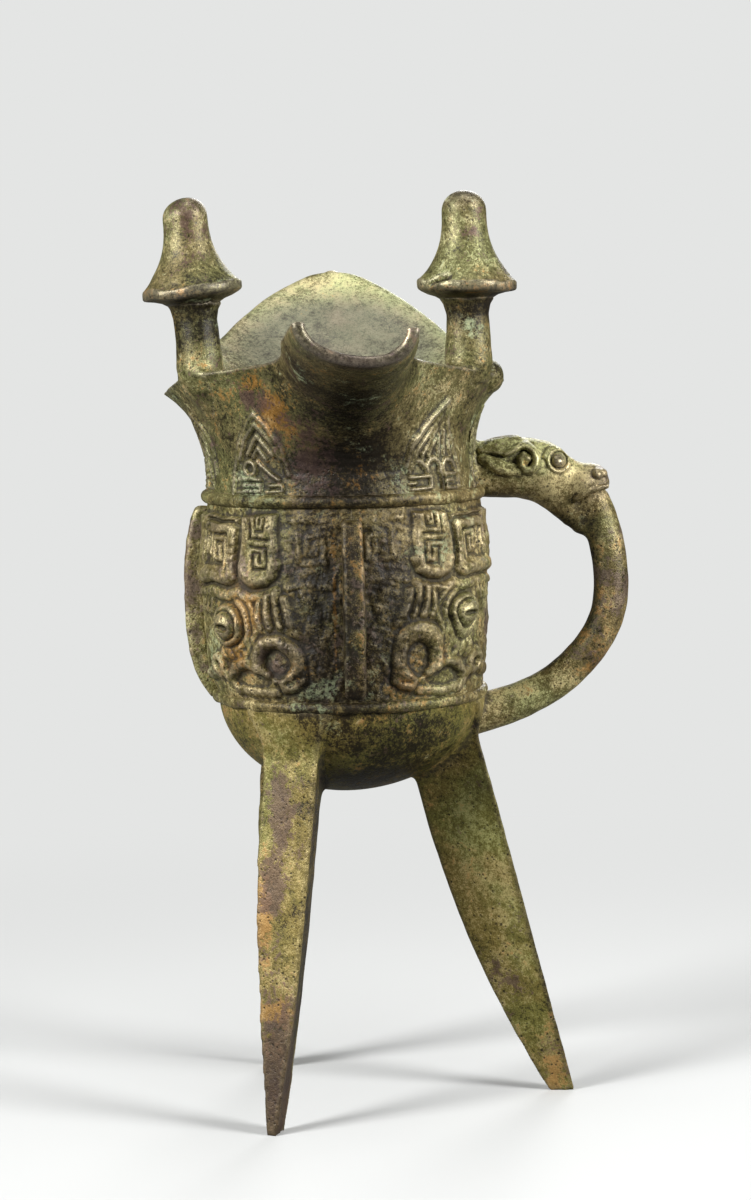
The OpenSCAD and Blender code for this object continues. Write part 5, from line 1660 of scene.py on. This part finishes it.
def head_field(x, y, z):
    top, bottom, half = (np.interp(x, HEAD_ROWS[:, 0], HEAD_ROWS[:, k]) for k in (1, 2, 3))
    middle, tall = (top + bottom) / 2, np.maximum((top - bottom) / 2, 0.3)
    size = (np.abs(y / half) ** 2.4 + np.abs((z - middle) / tall) ** 2.4) ** (1 / 2.4)
    body = (size - 1) * np.minimum(half, tall)
    body = np.maximum(body, x - 62.3)
    body = blended(body, rod(x, y, z, THROAT[:4]) + 0.15, 2.4)
    on_side = np.clip((np.abs(y) - 2.0) / 2.0, 0, 1)
    body = body - head_relief(x[:, 0, :], z[:, 0, :])[:, None, :] * on_side
    body = body + 0.07 * ripple(x, y, z, 9, 140) + 0.05 * ripple(x, y, z, 3, 141)
    flare = np.clip((z - joint_z) / 18.0, 0, 1) ** 2 * 7.0
    wall = np.hypot(x + drawn_in(z), y) - collar_r - flare
    wall = np.maximum(wall, np.abs(z - 149.0) - 9.0)
    joined = blended(body, wall + 0.1, 1.8)
    return np.maximum(joined, -(wall + 0.5))


head = net_over("animal_head_cast", head_field, (28, -10, 130), (63.5, 10, 158.5), FINE_NET)
hand_over(head, ["animal_head", "head_ears", "head_eyes"], HANDLE, reach=1.3)

# %% [markdown]
# ## Floor, light and camera
# The vessel stands on a plain pale floor. Two soft lamps stand left and right of it and weaker ones
# above and behind, at a level at which each colour shows about as it is written. They skim over the
# relief, and leave the middle of the cup and what lies under the spout in their shade, which painted
# shade in the patina deepens. The camera has the photograph's long lens and looks down a little from
# the height of the rim.

# %% The stage
bpy.ops.mesh.primitive_plane_add(size=12, location=(0, 0, 0))
floor = bpy.context.object
floor.name = "floor"
pale = bpy.data.materials.new("pale_floor")
pale.use_nodes = True
pale.node_tree.nodes.clear()
n = Nodes(pale.node_tree)
cloth = n.add("ShaderNodeBsdfPrincipled")
cloth.inputs["Roughness"].default_value = 0.75
backdrop = rgb(228, 229, 228)
seen = n.add("ShaderNodeLightPath").outputs["Is Camera Ray"]
n.link(n.mix(seen, rgb(96, 96, 94), rgb(190, 191, 190)), cloth.inputs["Base Color"])
# Away from the vessel the floor fades into the backdrop, so no horizon shows
length = n.add("ShaderNodeVectorMath", operation="LENGTH")
n.link(n.add("ShaderNodeTexCoord").outputs["Object"], length.inputs[0])
glow = n.add("ShaderNodeEmission")
glow.inputs["Color"].default_value = backdrop
faded = n.add("ShaderNodeMixShader")
n.link(n.math("MULTIPLY", n.ramp(length.outputs["Value"], 0.06, 0.4), seen), faded.inputs[0])
n.link(cloth.outputs[0], faded.inputs[1])
n.link(glow.outputs[0], faded.inputs[2])
n.link(faded.outputs[0], n.add("ShaderNodeOutputMaterial").inputs["Surface"])
floor.data.materials.append(pale)

world = bpy.data.worlds.new("soft_studio")
bpy.context.scene.world = world
world.use_nodes = True
n = Nodes(world.node_tree)
back = world.node_tree.nodes["Background"]
seen = n.add("ShaderNodeLightPath").outputs["Is Camera Ray"]
back.inputs["Color"].default_value = backdrop
n.link(n.ramp(seen, 0.0, 1.0, 0.16, 1.0), back.inputs["Strength"])


def lamp(name, place, aim, size, power):
    data = bpy.data.lights.new(name, "AREA")
    data.shape = "DISK"
    data.size = size
    data.energy = power
    obj = bpy.data.objects.new(name, data)
    bpy.context.scene.collection.objects.link(obj)
    obj.location = place
    obj.rotation_euler = (Vector(aim) - Vector(place)).to_track_quat("-Z", "Y").to_euler()
    return obj


aim = (0, 0, 0.12)
lamp("key_left", (-0.70, -0.46, 0.52), aim, 0.34, 13.5)
lamp("key_right", (0.74, -0.44, 0.46), aim, 0.34, 13.0)
lamp("top", (0.0, -0.05, 0.95), aim, 0.4, 2.0)
lamp("behind", (0.2, 0.85, 0.5), aim, 0.4, 2.8)

# %% The camera
CAM_TURN, CAM_PITCH, CAM_ROLL = math.radians(-2.0), math.radians(5.57), math.radians(-1.12)
CAM_BACK, CAM_HEIGHT, CAM_ASIDE = 735.0, 190.0, 7.0
side_way = Vector((math.cos(CAM_TURN), math.sin(CAM_TURN), 0))
ahead = Vector((-math.sin(CAM_TURN), math.cos(CAM_TURN), 0))
eye = side_way * CAM_ASIDE - ahead * CAM_BACK
look = ahead * math.cos(CAM_PITCH) - Vector((0, 0, math.sin(CAM_PITCH)))
up = side_way.cross(look)
tilted_side = side_way * math.cos(CAM_ROLL) + up * math.sin(CAM_ROLL)
tilted_up = -side_way * math.sin(CAM_ROLL) + up * math.cos(CAM_ROLL)
camera_data = bpy.data.cameras.new("camera")
camera_data.lens = 94.5
camera_data.sensor_width = 36.0
camera_data.clip_start, camera_data.clip_end = 0.02, 30
camera = bpy.data.objects.new("camera", camera_data)
bpy.context.scene.collection.objects.link(camera)
turn = Matrix((tilted_side, tilted_up, -look)).transposed()
camera.matrix_world = Matrix.Translation(at(eye.x, eye.y, CAM_HEIGHT)) @ turn.to_4x4()
bpy.context.scene.camera = camera
bpy.context.scene.view_settings.view_transform = "Standard"
